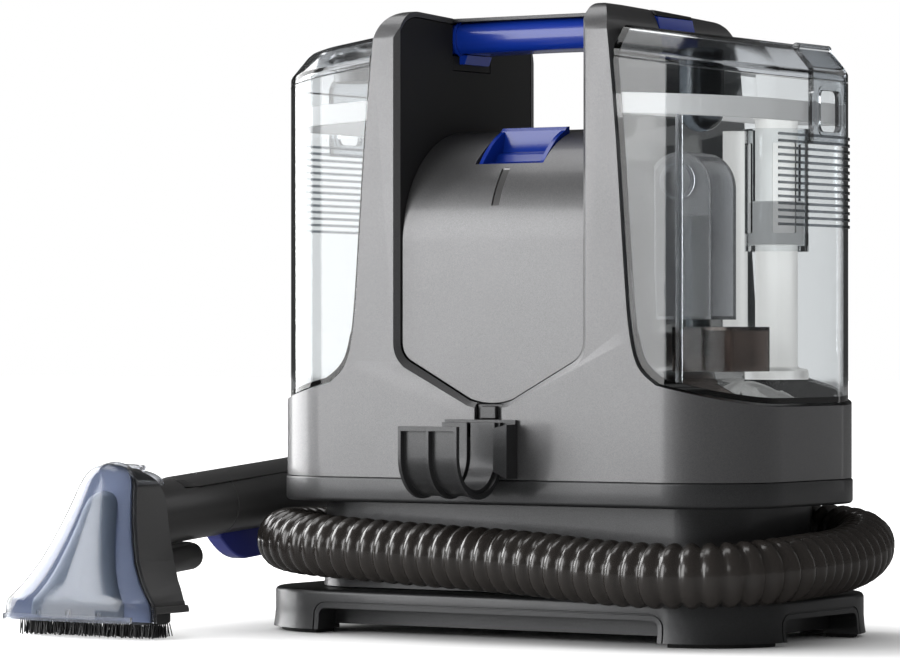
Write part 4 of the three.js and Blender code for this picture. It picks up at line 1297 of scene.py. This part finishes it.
class EXTRACTOR_OT_waste_tank(bpy.types.Operator):
    """Builds the clear right-hand tank with its lid, standpipe, float, tower and baffle"""

    bl_idname = "extractor.waste_tank"
    bl_label = "Waste water tank"

    def execute(self, context):
        make_piece("right_tank", tank_form(), "clear", "waste_tank", ["waste_tank"], 1.0, 3)
        make_ribs("right_tank_ribs", 1, "waste_tank")
        make_piece("right_lid", lid_form(), "lid", "waste_lid", ["waste_lid"], 0.6)
        make_piece("right_seal", seal_form(), "seal", "waste_lid", ["waste_seal"], 0.6)
        make_piece("right_latch", latch_form(), "latch", "waste_latch",
                   ["waste_latch"], 0.7)
        at = PIPE_AT
        pipe = turning([(9, 144.8), (17, 144.8), (17, 149.6), (16, 150.6), (11.6, 151.4),
                        (11, 153), (11, 288), (12, 290), (16, 290.6), (16, 298.5), (15, 298.9),
                        (9, 298.9)], at, closed=True)
        make_piece("pipe", pipe, "frosted", "waste_tank", ["standpipe"], 0.4)
        riser = meet(turning([(5.6, 144), (7.2, 144), (7.2, 284), (5.6, 284)], (101, 18), sides=40,
                             closed=True), beside_pylon(None, SEAM, 3.2))
        make_piece("riser", riser, "frosted", "waste_tank", (), 0.2)
        cage = turning([(15.2, 216), (17, 216), (17, 284), (15.2, 284)], at, closed=True)
        for i in range(4):
            angle = math.pi / 4 + i * math.pi / 2
            cage = cut(cage, rod("z", 226, 276, 6, (at[0] + 16 * math.cos(angle),
                                                    at[1] + 16 * math.sin(angle)), 24))
        cage = join(cage, turning([(11.3, 216), (16, 216), (16, 219), (11.3, 219)], at,
                                  closed=True))
        make_piece("cage", cage, "clear", "waste_tank", ["float_cage"], 0.3)
        ball = turning([(11.6, 219.6), (13.8, 219.6), (14.7, 220.6), (14.7, 242.8), (13.8, 243.8),
                        (11.6, 243.8)], at, closed=True)
        make_piece("float", ball, "white", "float", ["float"], 0)
        # the tower is a pill seen from the front, with a round port and a dark pipe inside it
        def pill(grow, low, high):
            face = [(86.5 - grow, 178 - grow), (126.5 + grow, 178 - grow),
                    *arc(106.5, 250, 20 + grow, 0, 180, 28)]
            return prism(face, low, high, "y")

        tower = cut(pill(0, -55, -27), pill(-1.8, -53.2, -28.8))
        ring = turning([(8.8, -58.4), (10.4, -58.4), (10.4, -55.4), (8.8, -55.4)], (106.5, 254),
                       "y", 48, closed=True)
        make_piece("tower_ring", ring, "rim", "waste_tank", (), 0.3)
        tower = cut(tower, meet(beside_pylon(90, 350, -20), block(0, 91, -90, 90, 90, 350)))
        make_piece("tower", tower, "grey_clear", "waste_tank", ["separator_tower"], 0.6)
        duct = turning([(4, 158), (7, 158.4), (7, 214), (7.8, 214.4), (7.8, 234), (7, 235),
                        (4, 235.4)], (111, -42), sides=32)
        make_piece("tower_pipe", duct, "deep_clear", "waste_tank", (), 0)
        dome_end = [(12.4 * math.cos(a), 293.5 + 12.4 * math.sin(a))
                    for a in (math.radians(-88 + 8 * i) for i in range(12))]
        intake = turning([*dome_end, (12.4, 326), (11, 326.6)], (112, -40), sides=48)
        make_piece("intake", intake, "deep_clear", "waste_lid", (), 0)
        # a thin frosted strip stands upright inside the tank's front wall and shows there as a
        # bright line
        bright_strip = block(117.4, 119.2, -77.6, -72.5, 143, 290)
        make_piece("front_bright_strip", bright_strip, "rim", "waste_tank", (), 0.4)
        baffle = cut(prism(rounded(38, 47, 4, 123, -37.5), 149.5, 174),
                     prism(rounded(34, 43, 2.6, 123, -37.5), 140, 172))
        make_piece("baffle", baffle, "brown_clear", "waste_tank", ["splash_baffle"], 0.5)
        return {"FINISHED"}


# ------------------------------------------------------------------ hand tool

TOOL_X, TOOL_R = -203.0, 18.5
TILT = math.radians(4.2)
BELL = [(9.5, 51), (16, 50.8), (20.4, 49.5), (25, 45), (31.4, 39.5), (42, 32.6), (53.5, 27.4),
        (62, 24.2), (70.5, 21.3), (78, 19.2), (84, 17.6), (88, 16), (91, 14), (93.4, 11.4),
        (95.2, 8), (96.2, 4.4), (96.6, 1)]


def on_handle(mesh):
    """Moves a form made level along Y onto the handle's tilted axis."""
    return moved(mesh, Matrix.Translation((TOOL_X, -176, 63.2)) @ Matrix.Rotation(TILT, 4, "X"))


def rim_y(z):
    """Where the hood's back rim lies at a height: upright at the foot, leaning above."""
    return -189.2 if z < 20.4 else -189.2 + (z - 20.4) * 0.42


def bell_loft(scale, bulge, wall, top_z, foot_z, back=0.0):
    """A thin leaning bell, open behind and below, from rings going up."""
    rings = []
    low_z, high_z = BELL[0][0], BELL[-1][0]
    for z, half in BELL:
        height = foot_z + (z - low_z) / (high_z - low_z) * (top_z - foot_z)
        half = half * scale
        thick = wall * (1.8 if z < 17 else 1.0)
        fade = min(1.0, half / (12 * scale))
        rim = rim_y(height) + back
        deep = bulge * (0.55 + 0.45 * fade)
        outline = []
        for k in range(25):
            a = math.pi * k / 24
            outline.append((TOOL_X + half * math.cos(a), rim - deep * math.sin(a) ** 0.62))
        inner_half = max(half - thick, half * 0.1)
        inner_deep = max(deep - thick, deep * 0.1)
        for k in range(24, -1, -1):
            a = math.pi * k / 24
            outline.append((TOOL_X + inner_half * math.cos(a),
                            rim - inner_deep * math.sin(a) ** 0.62))
        rings.append((outline, height))
    return stack(rings)


def sweep(points, radius, sides=12):
    """A round bar through the points, given in millimetres."""
    line = [Vector(p) for p in points]
    vertices, faces = [], []
    across = None
    for i, place in enumerate(line):
        ahead = (line[min(i + 1, len(line) - 1)] - line[max(i - 1, 0)]).normalized()
        if across is None:
            across = ahead.orthogonal().normalized()
        across = (across - ahead * across.dot(ahead)).normalized()
        up = ahead.cross(across)
        vertices += [tuple(place + across * radius * math.cos(a) + up * radius * math.sin(a))
                     for a in (2 * math.pi * k / sides for k in range(sides))]
    count = len(line)
    for i in range(count - 1):
        for k in range(sides):
            n = (k + 1) % sides
            faces.append((i * sides + k, i * sides + n, (i + 1) * sides + n, (i + 1) * sides + k))
    faces.append(tuple(range(sides)))
    faces.append(tuple(range((count - 1) * sides, count * sides)))
    return mesh_from(vertices, faces)


def bell_prism(grow, low=-215, high=-120):
    """The hood's bell seen from the front, as a block."""
    right = [(half + grow, z) for z, half in BELL]
    outline = right + [(-x, z) for x, z in reversed(right)]
    return prism([(TOOL_X + x, z) for x, z in outline], low, high, "y")


class EXTRACTOR_OT_hand_tool(bpy.types.Operator):
    """Builds the hand tool: handle, head, clear hood, brush, trigger and spray tube"""

    bl_idname = "extractor.hand_tool"
    bl_label = "Hand tool"

    def execute(self, context):
        r = TOOL_R
        x = TOOL_X
        profile = [(r, 34), (r, 60), (r + 0.2, 112.2), (r - 0.4, 112.5), (r - 0.4, 113.1),
                   (r + 0.2, 113.4), (r + 1.4, 226), (r + 2, 229), (r + 2, 240.5), (r + 1, 241.6)]
        body = turning(profile, (0, 0), "y", 64)
        body = cut(body, prism(rounded(60, 121, 2, 0, 130), 13, 40),
                   block(-6.5, 6.5, 110, 166, -40, -0.5))
        make_piece("tool_handle", on_handle(body), "black", "machine",
                   ["tool_handle"], 0.5)
        strip = meet(turning([(r + 0.4, 70.6), (r + 1.0, 74), (r + 1.0, 186), (r + 0.6, 189.4)],
                             (0, 0), "y", 64),
                     prism([(-22, 92), (-6, 70.6), (6, 70.6), (22, 92), (22, 189.6), (-22, 189.6)],
                           13.4, 40))
        strip = cut(strip, rod("z", 15.4, 40, 3.6, (0, 92)))
        make_piece("tool_strip", on_handle(strip), "black", "machine",
                   ["handle_strip"], 0.5)
        screw = cut(turning([(3.2, 15.7), (3.2, 17.2), (2.4, 17.8), (0.4, 18)], (0, 92)),
                    block(-2.4, 2.4, 91.6, 92.4, 17.1, 20), block(-0.4, 0.4, 89.6, 94.4, 17.1, 20))
        make_piece("tool_screw", on_handle(screw), "steel", "machine", ["strip_screw"], 0)
        lean = [(-188.4, 14.5), (-188.4, 20.6), (-157.4, 94.5)]
        rear = smooth_line([(-150, 94), (-138, 84), (-135.5, 74), (-139, 60), (-144.5, 43),
                            (-152, 28), (-157.5, 21)], 5)
        head = meet(bell_prism(-0.6), prism([*lean, *rear, (-158, 14.5)], -283, -123, "x"))
        head = cut(head, on_handle(rod("y", 33.6, 80, r + 0.3, (0, 0))))
        make_piece("tool_head", head, "black", "machine", ["tool_head"], 1.6, 3, 30)
        lip = meet(bell_prism(0.9), prism([(-189, 14.4), (-189, 18.4), (-156.6, 18.4),
                                           (-156.6, 14.4)], -283, -123, "x"))
        make_piece("head_lip", lip, "black", "machine", (), 0.7)
        make_piece("hood", bell_loft(1.0, 13.0, 1.3, 96.6, 9.5), "hood", "suction_hood",
                   ["suction_hood"], 0.2, 1)
        make_piece("hood_channel", bell_loft(0.62, 7.5, 1.0, 81, 12, -1.6), "pale",
                   "suction_hood", (), 0)
        back = meet(bell_prism(-1.8), prism([(-189.9, 10), (-189.9, 20.4), (-158.6, 95),
                                             (-159.6, 95), (-190.9, 20.4), (-190.9, 10)],
                                            -283, -123, "x"))
        make_piece("hood_back", back, "shade", "suction_hood", (), 0)
        right = [(x + half + 0.2, rim_y(z) + 0.4, z) for z, half in BELL]
        left = [(2 * x - px, y, z) for px, y, z in reversed(right)]
        rim = sweep([(px, y, z) for px, y, z in right + left], 1.15, 10)
        make_piece("hood_rim", rim, "rim", "suction_hood", (), 0)
        foot = join(block(x - 46, x + 43.5, -201.4, -199.2, 9.6, 13),
                    block(x - 1.2, x + 1.2, -201.8, -199, 9.6, 16),
                    block(x + 20, x + 22, -201.8, -199, 9.6, 15),
                    block(x - 22, x - 20, -201.8, -199, 9.6, 15))
        make_piece("hood_foot", foot, "rim", "suction_hood", (), 0.3)

        # a clear collar carries the hood back over the head, with a loop on its crest
        def collar(grow, low, high, drop):
            rings = []
            for y in (low, low + 8, high - 6, high):
                sink = drop * (y - low) / (high - low)
                path = [(x + (18 + grow) * math.cos(a), 84.4 + (11.6 + grow - sink) * math.sin(a))
                        for a in (math.pi * k / 24 for k in range(25))]
                rings.append((path, y))
            return stack(rings, "y")

        arch = cut(collar(0, -161, -135, 3.5), collar(-1.3, -170, -130, 3.5))
        make_piece("hood_collar", arch, "hood", "suction_hood", (), 0.3)
        loop = turning([(5.2, 0), (7.6, 0.4), (7.9, 2.2), (7.2, 2.9), (5.4, 2.6)], (0, 0),
                       sides=40, closed=True)
        loop.transform(Matrix.Translation((x + 1, -146, 93.0)) @ Matrix.Rotation(-0.1, 4, "X")
                       @ Matrix.Diagonal((1.35, 1.0, 1.0, 1.0)))
        make_piece("hood_loop", loop, "rim", "suction_hood", (), 0)

        brush = soft_prism(98, 19, 6, 8.8, 14.2, bottom=1.2)
        make_piece("brush_holder", moved(brush, Matrix.Translation((x, -176.5, 0))),
                   "dull_black", "machine", ["brush_block"], 0.3)
        hang = 8.5
        bed = moved(soft_prism(95, 15.4, 5, 8.1, 8.75, steps=2),
                    Matrix.Translation((0, 0, -hang)))
        bed.transform(Matrix.Scale(MM, 4))
        field = grown("bristles", bed, GROUPS["bristle"], {
            "Width": 94 * MM, "Depth": 14.5 * MM, "Length": 8.4 * MM, "Thickness": 0.4 * MM,
            "Lean": 0.2, "Across": 70, "Rows": 9, "Seed": sizes().seed,
            "Material": FINISH["bristle"]}, "machine")
        field.data.transform(Matrix.Translation(placed((x, -176.5, hang))))
        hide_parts("brush_bristles")

        nose = 112
        side = [(nose, -12), (nose + 48, -14), *bend((nose + 48, -14), (nose + 50, -34),
                                                     (nose + 42, -35), 8),
                (nose + 24, -35), *bend((nose + 24, -35), (nose + 12, -33), (nose, -20), 8)]
        make_piece("trigger", on_handle(prism(side, -5.5, 5.5, "x")), "violet",
                   "trigger", ["trigger"], 1.4, 3)
        nozzle = join(turning([(6.6, 54), (8, 55), (8, 88.6), (7.4, 89.4), (7.4, 91), (6, 92)],
                              (0, -28), "y", 40), block(-4, 4, 66, 84, -24, -19.2))
        make_piece("spray_tube", on_handle(nozzle), "black", "machine",
                   ["spray_tube"], 0.3)
        return {"FINISHED"}


# ------------------------------------------------------------------ works

class EXTRACTOR_OT_works(bpy.types.Operator):
    """Finishes the motor, pump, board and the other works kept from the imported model"""

    bl_idname = "extractor.works"
    bl_label = "Works"

    def execute(self, context):
        finishes = {
            "switch_block": "dull_black", "rocker_pin": "steel", "motor_mount": "dull_black",
            "impeller": "grey", "vacuum_motor": "dull_black", "suction_duct": "black",
            "pump": "grey", "pump_cradle": "dull_black", "control_board": "board",
            "board_tray": "dull_black", "hose_port": "black", "trigger_pin": "steel",
        }
        for name, finish in finishes.items():
            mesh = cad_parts[name].data
            mesh.materials.clear()
            mesh.materials.append(FINISH[finish])
        return {"FINISHED"}


class EXTRACTOR_PT_panel(bpy.types.Panel):
    """Lists the pieces of the spot extractor"""

    bl_idname = "EXTRACTOR_PT_panel"
    bl_label = "Spot extractor"
    bl_space_type = "VIEW_3D"
    bl_region_type = "UI"
    bl_category = "Spot extractor"

    def draw(self, context):
        for made in OPERATORS:
            self.layout.operator(made.bl_idname)
        for settings in (context.scene.extractor_sizes, context.scene.extractor_colours):
            for name in settings.bl_rna.properties.keys():
                if name not in ("rna_type", "name"):
                    self.layout.prop(settings, name)


OPERATORS = (
    EXTRACTOR_OT_stage, EXTRACTOR_OT_hose, EXTRACTOR_OT_base, EXTRACTOR_OT_body,
    EXTRACTOR_OT_covers, EXTRACTOR_OT_handle, EXTRACTOR_OT_cradle, EXTRACTOR_OT_clean_tank,
    EXTRACTOR_OT_waste_tank, EXTRACTOR_OT_hand_tool, EXTRACTOR_OT_works,
)
CLASSES = (ExtractorColours, ExtractorSizes, *OPERATORS, EXTRACTOR_PT_panel)


def register():
    for made in CLASSES:
        bpy.utils.register_class(made)
    bpy.types.Scene.extractor_colours = bpy.props.PointerProperty(type=ExtractorColours)
    bpy.types.Scene.extractor_sizes = bpy.props.PointerProperty(type=ExtractorSizes)


def unregister():
    del bpy.types.Scene.extractor_sizes
    del bpy.types.Scene.extractor_colours
    for made in reversed(CLASSES):
        bpy.utils.unregister_class(made)


def main():
    register()
    make_finishes(bpy.context.scene.extractor_colours)
    bpy.ops.extractor.stage()
    bpy.ops.extractor.hose()
    bpy.ops.extractor.base()
    bpy.ops.extractor.body()
    bpy.ops.extractor.covers()
    bpy.ops.extractor.handle()
    bpy.ops.extractor.cradle()
    bpy.ops.extractor.clean_tank()
    bpy.ops.extractor.waste_tank()
    bpy.ops.extractor.hand_tool()
    bpy.ops.extractor.works()


if __name__ == "__main__":
    main()
